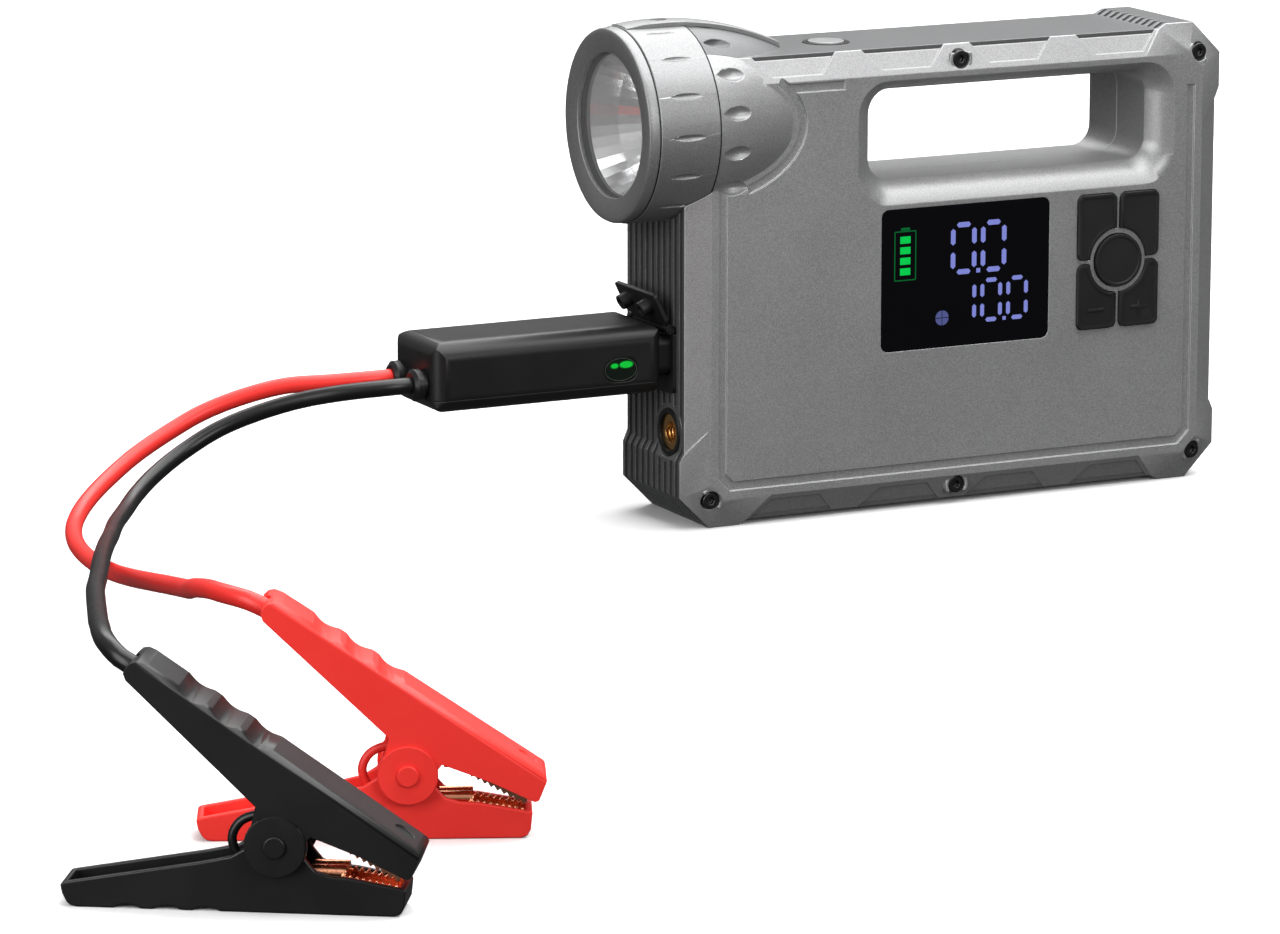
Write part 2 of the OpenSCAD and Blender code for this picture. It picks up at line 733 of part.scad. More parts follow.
module air_outlet() color("#c8963c") at_casing() difference() {
    union() {
        rod_x(air_y, air_z, air_r, -hw + 0.6, -hw + 3);
        rod_x(air_y, air_z, air_r - 1, -hw + 3, -hw + air_l - 4);
        rod_x(air_y, air_z, barb_r, -hw + air_l - 4, -hw + air_l);
    }
    rod_x(air_y, air_z, air_bore, -hw, -hw + 8.6);
    rod_x(air_y, air_z, barb_r - 1, -hw, -hw + 30);
}
module air_outlet_rim() color("#1b1c1e") at_casing() difference() {
    rod_x(air_y, air_z, air_r + 2.2, -hw - 0.4, -in_x + 1.4);
    rod_x(air_y, air_z, air_r + 0.05, -hw - 1, -hw + 3);
    rod_x(air_y, air_z, air_r - 0.95, -hw - 1, -hw + 20);
}

// jump socket and its rubber flap
module socket_frame() color("#161718") at_casing() difference() {
    union() {
        along_x(socket_face, -hw + socket_d) translate([0, socket_z])
            rounded(socket_w - 0.2, socket_h - 0.2, 3);
        along_x(-in_x, -in_x + 2) translate([0, socket_z]) rounded(socket_w + 5, socket_h + 5, 4);
        for (s = [-1, 1]) rod_y(flap_x, flap_z, ear_r, s * (socket_w / 2 - 1.6) - 1.5,
            s * (socket_w / 2 - 1.6) + 1.5);
    }
    along_x(socket_face - 1, -hw + 3) translate([0, contact_z]) rounded(plug_w + 0.6, plug_h + 0.6, 4.3);
    for (s = [-1, 1])
        rod_x(s * contact_pitch / 2, contact_z, contact_r + 1, -hw, -hw + socket_d - 2);
    rod_y(flap_x, flap_z, ear_r + 0.3, 3.3 - socket_w / 2, socket_w / 2 - 3.3);
    rod_y(flap_x, flap_z, rod_r + 0.05, -socket_w, socket_w);
}
module socket_contacts() color("#c9a24a") at_casing() for (s = [-1, 1]) difference() {
    rod_x(s * contact_pitch / 2, contact_z, contact_r + 0.95, -hw + 3.6, -hw + socket_d - 2.1);
    rod_x(s * contact_pitch / 2, contact_z, contact_r + 0.05, -hw + 3, -hw + socket_d - 4);
}
module socket_flap() color("#1a1b1c") at_casing()
    translate([flap_x, 0, flap_z]) rotate([0, flap_open, 0]) {
        rod_y(0, 0, rod_r, -socket_w / 2 + 0.3, socket_w / 2 - 0.3);
        rod_y(0, 0, rod_r + 0.4, 3.8 - socket_w / 2, socket_w / 2 - 3.8);
        translate([flap_back - flap_t, 3.8 - socket_w / 2, -4]) cube([flap_t, socket_w - 7.6, 4]);
        along_x(flap_back - flap_t, flap_back) translate([0, -(flap_l + 2.7) / 2])
            rounded(socket_w - 0.6, flap_l - 2.7, 1.4);
        for (s = [-1, 1]) difference() {
            rod_x(s * contact_pitch / 2, -peg_z, 3, 0, 4.8);
            rod_x(s * contact_pitch / 2, -peg_z, 1.8, 1, 6);
        }
    }

// work lamp
module lamp_bezel() color("#6c6e71") at_casing() translate([0, 0, lamp_z]) rotate([0, 90, 0])
    rotate_extrude($fn = 96) polygon([[lens_r, bezel_x + 1.4], [lens_r + 3.4, bezel_x + 0.4],
        [lamp_r - 2.6, bezel_x], [lamp_r - 1, bezel_x + 0.5], [lamp_r - 0.5, bezel_x + 1.6],
        [lamp_r - 0.3, ring_x - 0.4], [lamp_r - 0.7, ring_x], [lens_r + 5, ring_x],
        [lens_r + 5, ring_x - lens_t + 0.2], [lens_r, ring_x - lens_t + 0.2]]);
module lamp_ring() color("#828487") at_casing() difference() {
    translate([0, 0, lamp_z]) rotate([0, 90, 0]) rotate_extrude($fn = 96) polygon([
        [lamp_r - 0.5, ring_x], [lamp_r, ring_x + 0.5], [lamp_r, dome_x - 0.4],
        [lamp_r - 0.4, dome_x], [lamp_r - lamp_t, dome_x], [lamp_r - lamp_t, ring_x + 4],
        [lens_r + 5, ring_x + 4], [lens_r + 5, ring_x]]);
    dents(lamp_r + 0.5, ring_x + ring_l / 2 - 0.6, 8.4, 1.3, 19);
}
module lamp_lens() color("#d8e4ea") at_casing()
    lamp_rod(lens_r + 4.9, ring_x - lens_t + 0.2, ring_x + 0.2);
module lamp_seal() color("#101112") at_casing() difference() {
    lamp_rod(lens_r + 4.9, ring_x + 0.2, ring_x + 1.6);
    lamp_rod(lens_r - 0.6, ring_x, ring_x + 2);
}
function mirror_r(t) = 5.5 + (lens_r - 6.5) * pow(t, 0.6);
module lamp_reflector() color("#e6e7e8") at_casing() {
    l = ring_l + 4;
    x0 = ring_x + 1.6;
    translate([0, 0, lamp_z]) rotate([0, 90, 0]) rotate_extrude($fn = 72) polygon(concat(
        [for (i = [0:12]) [mirror_r(1 - i / 12), x0 + l * i / 12]],
        [for (i = [12:-1:0]) [mirror_r(1 - i / 12) + 1.2, x0 + l * i / 12 + 0.4]],
        [[lens_r + 4.9, x0 + 1.6], [lens_r + 4.9, x0]]));
}
module lamp_led() color("#e9d98a") at_casing() {
    x1 = ring_x + 1.6 + ring_l + 4.4;
    lamp_rod(14, x1, x1 + 3);
    lamp_rod(4, x1 - 2, x1);
    translate([x1 - 2, 0, lamp_z]) sphere(2.6);
}
module lamp_tongue() color("#85878a") at_casing() difference() {
    intersection() {
        dome(-tongue_t, ring_x + 0.6, dome_end);
        translate([ring_x, -tongue_w / 2, lamp_z + 20]) cube([body_w, tongue_w, lamp_r]);
    }
    lamp_rod(lamp_r + 0.03, bezel_x, dome_x);
    dome(-0.03, dome_x - 0.1);
    translate([dome_start - 1, 0, lamp_z + lamp_r + 0.1]) cylinder(r = 3.3, h = 6);
}
module tongue_screw() color("#1a1a1b") at_casing() difference() {
    translate([dome_start - 1, 0, lamp_z + lamp_r + 0.1]) cylinder(r = 3.2, h = 1);
    translate([dome_start - 1, 0, lamp_z + lamp_r + 0.5]) cylinder(r = 1.4, h = 2, $fn = 6);
}

// lead box between the pack and the clamps
module soft_box(in = 0) {
    l = box_l - 2 * in;
    w = box_w - 2 * in;
    h = box_h - 2 * in;
    r = max(box_r - in, 1);
    translate([box_x + box_l / 2, 0, box_z]) intersection() {
        translate([0, 0, -h / 2]) linear_extrude(h) rounded(l, w, r);
        along_x(-l / 2, l / 2) rounded(w, h, r);
        along_y(-w / 2, w / 2) rounded(l, h, r);
    }
}
module box_split(up) translate([box_x - 5, -box_w, split_z - (up ? 0 : 40)])
    cube([box_l + 10, 2 * box_w, 40]);
module box_top() color("#1c1d1e") at_casing() difference() {
    intersection() {
        soft_box();
        box_split(true);
    }
    soft_box(box_t);
    box_openings();
    along_y(-box_w, 0) translate([box_x + box_l - 18.5, light_z]) rounded(14, 9.4, 4.6);
}
module box_base() color("#191a1b") at_casing() difference() {
    intersection() {
        soft_box();
        box_split(false);
    }
    soft_box(box_t);
    box_openings();
}
module box_openings() {
    for (s = [-1, 1]) rod_x(s * lead_pitch / 2, collar_z, 4, box_x - 1, box_x + box_t + 1);
    along_x(box_x + box_l - box_t - 1, box_x + box_l + 1) translate([0, contact_z])
        rounded(plug_w + 0.1, plug_h + 0.1, 4.05);
}
module status_window() color("#2f9e46") at_casing()
    along_y(-box_w / 2 + 0.2, -box_w / 2 + box_t) translate([box_x + box_l - 18.5, light_z])
        rounded(13.9, 9.3, 4.5);
module box_board() color("#1f5a38") at_casing() {
    translate([box_x + 12, box_r - box_w / 2, box_z - box_h / 2 + box_t])
        cube([box_l - 30, box_w - 2 * box_r, 4]);
    translate([box_x + box_l - 26, -box_w / 2 + box_t, light_z - 2]) cube([13, 4, 4]);
    translate([box_x + box_l - 26, 1 - box_w / 2 + box_t, box_z - box_h / 2 + box_t + 3])
        cube([2, box_r - 1, 14]);
}
module box_plug() color("#1b1c1d") at_casing() {
    along_x(box_x + box_l - 12, -hw + 2.9) translate([0, contact_z]) rounded(plug_w, plug_h, 4);
    along_x(box_x + box_l - 12, box_x + box_l - 6) translate([0, contact_z])
        rounded(plug_w + 3, plug_h + 3, 4);
}
module plug_pins() color("#cfa84e") at_casing() for (s = [-1, 1])
    rod_x(s * contact_pitch / 2, contact_z, contact_r, -hw + 2.9, -hw + 3 + contact_l - 2);
module lead_collars() color("#161718") at_casing() for (s = [-1, 1])
    translate([0, s * lead_pitch / 2, collar_z]) rotate([0, 90, 0]) {
        translate([0, 0, box_x - collar_l]) cylinder(r1 = 4.6, r2 = 6, h = 1.2);
        translate([0, 0, box_x - collar_l + 1.2]) cylinder(r = 6, h = collar_l - 2.6);
        translate([0, 0, box_x - 1.4]) cylinder(r = 5, h = 1.4);
        translate([0, 0, box_x]) cylinder(r = 3.9, h = box_t + 6);
    }

// tubes along a route: rings of points that follow a smooth curve
function spline(p, i, t) = let (a = p[max(i - 1, 0)], b = p[i], c = p[i + 1],
    d = p[min(i + 2, len(p) - 1)])
    0.5 * ((2 * b) + (c - a) * t + (2 * a - 5 * b + 4 * c - d) * t * t
        + (3 * b - a - 3 * c + d) * t * t * t);
function smooth_path(p, step) = concat([for (i = [0:len(p) - 2])
    let (n = max(1, round(norm(p[i + 1] - p[i]) / step))) for (k = [0:n - 1]) spline(p, i, k / n)],
    [p[len(p) - 1]]);
function tangent(p, i) = unit(i == 0 ? p[1] - p[0] : i == len(p) - 1 ? p[i] - p[i - 1]
    : unit(p[i + 1] - p[i]) + unit(p[i] - p[i - 1]));
function ring_points(p, i, r, sides, up) = let (t = tangent(p, i), s = unit(cross(t, up)), n = cross(s, t))
    [for (k = [0:sides - 1]) p[i] + r * (s * cos(360 * k / sides) + n * sin(360 * k / sides))];
module tube(path, r, sides, up) {
    n = len(path);
    rings = [for (i = [0:n - 1]) for (q = ring_points(path, i, r, sides, up)) q];
    walls = [for (i = [0:n - 2], k = [0:sides - 1]) let (a = i * sides + k,
        b = i * sides + (k + 1) % sides) each [[a, b, b + sides], [a, b + sides, a + sides]]];
    caps = [for (k = [1:sides - 2]) each [[0, k + 1, k],
        [(n - 1) * sides, (n - 1) * sides + k, (n - 1) * sides + k + 1]]];
    polyhedron(concat(rings, [path[0], path[n - 1]]), concat(walls, caps), convexity = 8);
}
function least_gap(p, apart, r) = min([for (i = [0:len(p) - 1 - apart], j = [i + apart:len(p) - 1])
    norm(p[i] - p[j])]) - 2 * r;

// places of the clamps, and of a clamp's own point in the world
module at_clamp(spot, heading) translate([spot[0], spot[1], 0]) rotate([0, 0, heading]) children();
function clamp_point(spot, heading, u, w, v) = [spot[0] + u * cos(heading) - w * sin(heading),
    spot[1] + u * sin(heading) + w * cos(heading), v];

// outlines of the levers, side view: u runs to the jaws, v is up
top_line = [[25.1, 73.9], [103.1, 20.9]];
top_lean = atan((top_line[0][1] - top_line[1][1]) / (top_line[1][0] - top_line[0][0]));
nose_at = [98.7, 23.9];
wave_pitch = 11.8;
stop_at = [27.6, 65.6];
stop_lean = -34;
module upper_outline() {
    polygon([[18.7, 69.3], [18, 71.3], [18.8, 73.2], [20.2, 74.4], [22, 74.8], top_line[0],
        top_line[1], [104, 19.8], [104.3, 18.4], [101.9, 12.4], [100.6, 11.9], [87, 18.4],
        [72.4, 24], [pivot_u + pivot_r * 0.6, pivot_v - 3], [pivot_u - pivot_r * 0.9, pivot_v],
        [56.3, 32.6]]);
    translate([pivot_u, pivot_v]) circle(pivot_r);
}
module upper_inside() polygon([[20.4, 60], [20.4, 71.4], [21.4, 72.3], [24.4, 71.9], [100.9, 20],
    [101.9, 19.1], [102.1, 18.2], [99, 10], [78, 2], [40, 2]]);
module lower_outline() {
    polygon([[-0.6, 1.4], [0.6, 0.4], [2.4, 0], [96.4, 0], [98.4, 0.8], [99.4, 2.8], [100, 8.2],
        [83.6, 11.2], [77.7, 11.6], [73.3, 13], [70.6, 16.2], [pivot_u + 4, pivot_v + 5.5],
        [pivot_u - 5, pivot_v + 5], [52.4, 19.2], [48.3, 16.7], [39.4, 14.7], [-1.6, 7.4],
        [-2.4, 6.6], [-1.9, 4]]);
    translate([pivot_u, pivot_v]) circle(pivot_r - 0.8);
}
module lower_inside() polygon([[-0.2, 4], [0.8, floor_v], [97.2, floor_v], [98.4, 12],
    [90, 60], [-0.6, 60]]);
module waves(from, to, first, count, bite) {
    way = unit(to - from);
    side = [-way[1], way[0]];
    r = 8.5;
    for (i = [0:count - 1]) {
        c = from + way * (first + i * wave_pitch) + side * (r - bite);
        rod_y(c[0], c[1], r, -clamp_w, clamp_w);
    }
}
module soft_back() translate([top_line[0][0], 0, top_line[0][1]]) rotate([0, top_lean, 0])
    along_x(-40, 130) translate([0, -60]) rounded(clamp_w, 120, back_r);
module upper_lever() difference() {
    union() {
        intersection() {
            difference() {
                along_y(-clamp_w / 2, clamp_w / 2) upper_outline();
                along_y(-clamp_w / 2 + clamp_t, clamp_w / 2 - clamp_t) upper_inside();
            }
            soft_back();
        }
        for (s = [-1, 1]) rod_y(pivot_u, pivot_v, pivot_r - 0.4, s * (clamp_w / 2) - 1,
            s * (clamp_w / 2) + 1);
        intersection() {
            along_y(-clamp_w / 2 + 1, clamp_w / 2 - 1) upper_outline();
            translate([stop_at[0], 0, stop_at[1]]) rotate([0, -stop_lean, 0])
                translate([0, -clamp_w / 2, -14]) cube([2, clamp_w, 28]);
            soft_back();
        }
    }
    waves(top_line[0], top_line[1], 15.6, 3, 1.5);
    translate([stop_at[0], 0, stop_at[1]]) rotate([0, -90 - stop_lean, 0])
        cylinder(r = lead_d / 2 + 0.7, h = 20);
    rod_y(pivot_u, pivot_v, pin_r + pin_fit, -clamp_w, clamp_w);
    nose_pin(1.6, -6, -1.2);
    nose_pin(3.4, -0.6, 3);
}
module nose_pin(r, s0, s1) translate([nose_at[0], 0, nose_at[1]]) rotate([0, top_lean, 0])
    translate([0, 0, s0]) cylinder(r = r, h = s1 - s0);
module lower_lever() difference() {
    along_y(-low_w / 2, low_w / 2) lower_outline();
    along_y(-trough_w / 2, trough_w / 2) lower_inside();
    waves([100, 0], [0, 0], 59, 3, 1.1);
    rod_y(pivot_u, pivot_v, pin_r + pin_fit, -clamp_w, clamp_w);
}
module pivot_pin() {
    rod_y(pivot_u, pivot_v, pin_r, -clamp_w / 2 - 1, clamp_w / 2 + 1);
    for (s = [-1, 1]) rod_y(pivot_u, pivot_v, pin_r + 0.8, s * (clamp_w / 2 + 1.5) - 0.5,
        s * (clamp_w / 2 + 1.5) + 0.5);
}

// copper jaws: channels with teeth along both edges, and a crimp behind each for the jumper
teeth = 9;
low_row = [[80.4, 10.9], [97.8, 7.8]];
high_row = [[80.4, 19.4], [98, 9.4]];
tooth_h = 1.2;
function tooth_row(row, first) = [for (i = [0:2 * teeth]) row[0] + (row[1] - row[0]) * i / (2 * teeth)
    + [0, i % 2 == first ? tooth_h : 0]];
jaw_w = trough_w - 0.4;
crimp_y = 2.6;
low_crimp = 11.6;
high_crimp = 23.6;
module lower_jaw() difference() {
    union() {
        difference() {
            along_y(-jaw_w / 2, jaw_w / 2) polygon(concat([[97.2, 2.5], [80, 2.5]], tooth_row(low_row, 1)));
            along_y(-jaw_w / 2 + 1.2, jaw_w / 2 - 1.2)
                polygon([[70, 5], [70, 30], [110, 30], [110, 4]]);
        }
        for (s = [-1, 1]) rod_x(s * crimp_y, low_crimp, 2.3, 71.5, 82);
    }
    rod_x(-crimp_y, low_crimp, jumper_r + 0.2, 71, 77);
}
module upper_jaw() {
    difference() {
        along_y(-jaw_w / 2, jaw_w / 2)
            polygon(concat(tooth_row(high_row, 0), [[100.4, 17.2], [98.4, 20.9], [80, 25.5]]));
        along_y(-jaw_w / 2 + 1.2, jaw_w / 2 - 1.2)
            polygon([[70, 25.5], [70, 0], [110, 0], [110, 17]]);
    }
    nose_pin(1.5, -4.5, -1.3);
    difference() {
        rod_x(-crimp_y, high_crimp, 2.3, 73, 81.6);
        rod_x(-crimp_y, high_crimp, jumper_r + 0.2, 72, 78);
    }
}

// clamp spring: turns round the pin and two legs inside the levers
spring_turns = 2.25;
function coil_point(f) = let (a = 294 + 360 * spring_turns * f)
    [pivot_u + spring_r * cos(a), spring_turns * spring_rise * f, pivot_v + spring_r * sin(a)];
spring_path = concat([[36, 0, floor_v + spring_wire + 0.3], [50, 0, 9.8]],
    [for (i = [0:8 * spring_turns]) coil_point(i / (8 * spring_turns))],
    [[60.6, spring_turns * spring_rise, 39], [53, spring_turns * spring_rise, 50.6]]);
module clamp_spring() tube(spring_path, spring_wire, 6, [0, 1, 0]);
echo(spring_gap = least_gap(spring_path, 6, spring_wire));

jumper_path = smooth_path([[75.4, -crimp_y, high_crimp], [72, -crimp_y, high_crimp],
    [66.5, -2.8, 26.6], [61, -3, 28.4], [55.5, -3.2, 28.4], [50.6, -3.2, 26.2], [48.2, -3.2, 21.8],
    [49.2, -3.2, 17.4], [52.6, -3, 14.2], [58, -2.8, 12.2], [65, -2.7, low_crimp],
    [70.5, -crimp_y, low_crimp], [74.5, -crimp_y, low_crimp]], 4);
module jumper() tube(jumper_path, jumper_r, 6, [0, 1, 0]);

// free leads: round-number points chosen by hand, then the turn into the handle, in the
// clamp's own frame, and the end at the stop inside it
red_route = [[-233.5, 13, 61.5], [-248.5, 19, 60.5], [-263.5, 23.5, 57], [-278.5, 26, 52],
    [-293, 24.5, 46], [-307.5, 20, 40], [-320.5, 12.5, 34.5], [-332, 2, 30.5], [-341.5, -10, 27.5],
    [-350, -26, 25.5], [-357.5, -49, 25], [-364, -80.5, 26.5], [-370, -115.5, 30.5],
    [-377.5, -152.5, 37], [-386.5, -189, 44.5], [-393.5, -221.5, 51], [-399, -250.5, 56.5],
    [-405.5, -273.5, 61.5], [-411, -290, 66]];
red_turn = [[-1.5, 32, 70], [2, 19.5, 72.5], [5.2, 12, 73.3], [9, 6.3, 73.6], [14.2, 2, 73]];
black_route = [[-234.5, -2.5, 60.5], [-248, 5.5, 57.5], [-262, 12, 53], [-276.5, 15.5, 47.5],
    [-291, 15, 40.5], [-304.5, 9, 34.5], [-316, -1, 30], [-326.5, -15.5, 27.5], [-337.5, -35, 28],
    [-349, -60, 30], [-363.5, -93, 35], [-379, -129.5, 40.5], [-394, -166, 46], [-409, -203, 51],
    [-423.5, -238, 56], [-435.5, -269.5, 60.5], [-446, -297.5, 64.5], [-455, -321.5, 68.5],
    [-462.5, -341.5, 72]];
black_turn = [[3, 30.5, 75], [6, 18, 76.5], [8.3, 10.8, 76.4], [11.2, 5, 75.4], [15, 1.4, 73.2]];
function lead_path(side, route, turn, spot, heading) = let (y = side * lead_pitch / 2,
    x = shift_x + box_x - collar_l, z = mid_z + collar_z,
    inside = [for (back = [9, 4, 0]) [stop_at[0] - back * cos(stop_lean), 0,
        stop_at[1] - back * sin(stop_lean)]])
    smooth_path(concat([[x, y, z], [x - 8, y, z]], route,
        [for (p = concat(turn, inside)) clamp_point(spot, heading, p[0], p[1], p[2])]), lead_step);
module red_lead() color("#d9281f")
    tube(lead_path(1, red_route, red_turn, red_spot, red_heading), lead_d / 2, lead_sides, [0, 0, 1]);
module black_lead() color("#161616")
    tube(lead_path(-1, black_route, black_turn, black_spot, black_heading), lead_d / 2, lead_sides,
        [0, 0, 1]);

module red_upper_lever() color("#e5332b") at_clamp(red_spot, red_heading) upper_lever();
module red_lower_lever() color("#e5332b") at_clamp(red_spot, red_heading) lower_lever();
module red_pin() color("#d92d26") at_clamp(red_spot, red_heading) pivot_pin();
module red_spring() color("#b9bcc0") at_clamp(red_spot, red_heading) clamp_spring();
module red_upper_jaw() color("#c77a4a") at_clamp(red_spot, red_heading) upper_jaw();
module red_lower_jaw() color("#c77a4a") at_clamp(red_spot, red_heading) lower_jaw();
module red_jumper() color("#d9281f") at_clamp(red_spot, red_heading) jumper();
module black_upper_lever() color("#1d1e1f") at_clamp(black_spot, black_heading) upper_lever();
module black_lower_lever() color("#1d1e1f") at_clamp(black_spot, black_heading) lower_lever();
module black_pin() color("#161718") at_clamp(black_spot, black_heading) pivot_pin();
module black_spring() color("#b9bcc0") at_clamp(black_spot, black_heading) clamp_spring();
module black_upper_jaw() color("#c77a4a") at_clamp(black_spot, black_heading) upper_jaw();
module black_lower_jaw() color("#c77a4a") at_clamp(black_spot, black_heading) lower_jaw();
module black_jumper() color("#161616") at_clamp(black_spot, black_heading) jumper();

front_shell();
side_band();
rear_shell();
display_window();
display_panel();
main_board();
mode_button();
air_button();
minus_button();
plus_button();
power_button();
top_switch();
top_switch_ring();
case_screws();
battery_cells();
cell_holder();
pump_motor();
pump_cylinder();
air_tube();
air_outlet();
air_outlet_rim();
socket_frame();
socket_contacts();
socket_flap();
lamp_bezel();
lamp_ring();
lamp_lens();
lamp_seal();
lamp_reflector();
lamp_led();
lamp_tongue();
tongue_screw();
box_top();
box_base();
box_board();
box_plug();
plug_pins();
status_window();
lead_collars();
red_lead();
black_lead();
red_upper_lever();
red_lower_lever();
red_pin();
red_spring();
red_upper_jaw();
red_lower_jaw();
red_jumper();
black_upper_lever();
black_lower_lever();
black_pin();
black_spring();
black_upper_jaw();
black_lower_jaw();
black_jumper();
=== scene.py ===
import bpy, bmesh, json, math
from mathutils import Matrix, Vector

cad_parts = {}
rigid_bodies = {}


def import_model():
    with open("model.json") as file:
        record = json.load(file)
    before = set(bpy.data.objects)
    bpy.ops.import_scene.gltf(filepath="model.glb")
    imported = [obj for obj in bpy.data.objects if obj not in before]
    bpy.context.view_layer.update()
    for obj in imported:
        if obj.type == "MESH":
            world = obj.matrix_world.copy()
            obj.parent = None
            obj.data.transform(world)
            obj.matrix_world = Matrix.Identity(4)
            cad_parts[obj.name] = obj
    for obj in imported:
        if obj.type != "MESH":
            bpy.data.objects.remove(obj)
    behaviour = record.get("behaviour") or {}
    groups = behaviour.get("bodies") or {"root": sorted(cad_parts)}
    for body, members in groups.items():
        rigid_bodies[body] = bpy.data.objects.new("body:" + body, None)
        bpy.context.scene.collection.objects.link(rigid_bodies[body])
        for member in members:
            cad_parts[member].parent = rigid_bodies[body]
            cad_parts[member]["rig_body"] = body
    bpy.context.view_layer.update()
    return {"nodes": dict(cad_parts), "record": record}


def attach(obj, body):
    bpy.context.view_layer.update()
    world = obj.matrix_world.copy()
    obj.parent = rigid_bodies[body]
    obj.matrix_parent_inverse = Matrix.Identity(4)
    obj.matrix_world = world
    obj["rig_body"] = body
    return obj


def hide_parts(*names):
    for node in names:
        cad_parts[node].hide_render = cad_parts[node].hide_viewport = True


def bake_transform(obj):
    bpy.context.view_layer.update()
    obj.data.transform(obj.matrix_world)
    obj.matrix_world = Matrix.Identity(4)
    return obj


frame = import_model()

nodes = frame["nodes"]
scene = bpy.context.scene
slotOf = {part["node"]: part["material_slot"] for part in frame["record"]["subparts"]}
bodyOf = {name: ob["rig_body"] for name, ob in nodes.items()}
mm = 0.001
print("frame loaded:", len(nodes), "parts")

# camera and lamps, in metres and watts

view = {"place": (-1.0842, -1.9603, 0.4884), "aim": (0.4345, 0.8761, -0.2091),
        "side": (0.896, -0.444, 0.0), "lens": 166.67, "sensor": 36, "near": 0.05, "far": 40}


def turned(place, aim, side):
    aim = Vector(aim).normalized()
    side = Vector(side)
    side = (side - aim * side.dot(aim)).normalized()
    matrix = Matrix((side, side.cross(aim), -aim)).transposed().to_4x4()
    matrix.translation = Vector(place)
    return matrix


camera = bpy.data.objects.new("camera", bpy.data.cameras.new("camera"))
camera.data.lens = view["lens"]
camera.data.sensor_width = view["sensor"]
camera.data.clip_start = view["near"]
camera.data.clip_end = view["far"]
camera.matrix_world = turned(view["place"], view["aim"], view["side"])
scene.collection.objects.link(camera)
scene.camera = camera
scene.view_settings.view_transform = "Standard"

lamps = {
    "overhead": {"place": (0.45, -0.3, 1.9), "to": (0, -0.05, 0), "size": (2.2, 2.1), "power": 65},
    "leftSide": {"place": (-1.9, -0.9, 0.6), "to": (0, 0, 0.1), "size": (0.9, 1.5), "power": 26},
    "frontFill": {"place": (0.2, -2.6, 1.0), "to": (0, 0, 0.1), "size": (1.2, 0.9), "power": 24},
    "backdrop": {"place": (0.8, 1.6, 1.8), "to": (0.8, 1.6, 0), "size": (2.6, 1.6), "power": 60},
}
for lampName, lamp in lamps.items():
    data = bpy.data.lights.new(lampName, "AREA")
    data.shape = "RECTANGLE"
    data.size, data.size_y = lamp["size"]
    data.energy = lamp["power"]
    ob = bpy.data.objects.new(lampName, data)
    aim = Vector(lamp["to"]) - Vector(lamp["place"])
    across = aim.cross(Vector((0, 0, 1)))
    if across.length < 0.01:
        across = (1, 0, 0)  # the lamp points straight down
    ob.matrix_world = turned(lamp["place"], aim, across)
    scene.collection.objects.link(ob)


# node trees

class Wire:
    # one output socket, with Python's own operators
    def __init__(self, owner, socket):
        self.owner, self.socket = owner, socket

    def port(self, name):
        # another output of the same node
        return Wire(self.owner, self.socket.node.outputs[name])

    def __add__(self, other):
        return self.owner.math("ADD", self, other)

    def __sub__(self, other):
        return self.owner.math("SUBTRACT", self, other)

    def __rsub__(self, other):
        return self.owner.math("SUBTRACT", other, self)

    def __mul__(self, other):
        return self.owner.math("MULTIPLY", self, other)

    def __pow__(self, other):
        return self.owner.math("POWER", self, other)

    __radd__ = __add__
    __rmul__ = __mul__


class Builder:
    def __init__(self, tree):
        self.tree = tree

    def add(self, kind, settings=None, values=None, out=0):
        node = self.tree.nodes.new(kind)
        for key, value in (settings or {}).items():
            if key == "stops":
                ramp = node.color_ramp
                while len(ramp.elements) < len(value):
                    ramp.elements.new(0.5)
                for element, (place, tone) in zip(ramp.elements, value):
                    element.position = place
                    element.color = (tone, tone, tone, 1)
            else:
                setattr(node, key, value)
        for key, value in (values or {}).items():
            if isinstance(value, Wire):
                self.tree.links.new(value.socket, node.inputs[key])
            else:
                node.inputs[key].default_value = value
        return Wire(self, node.outputs[out]) if len(node.outputs) else None

    def math(self, operation, a, b=0.0):
        return self.add("ShaderNodeMath", {"operation": operation}, {0: a, 1: b})

    def mix(self, factor, a, b):
        # inputs 6 and 7 and output 2 are the node's colours
        a, b = (tone if isinstance(tone, Wire) else (*tone, 1) for tone in (a, b))
        return self.add("ShaderNodeMix", {"data_type": "RGBA"}, {"Factor": factor, 6: a, 7: b}, 2)


# edges rounded in shading, and a painted glint: edge colour lightened where highlights would catch
edgeRoundingAndGlint = {"samples": 6, "round": 0.35, "glintRound": 0.28, "glintGain": 9.0}  # radii in mm


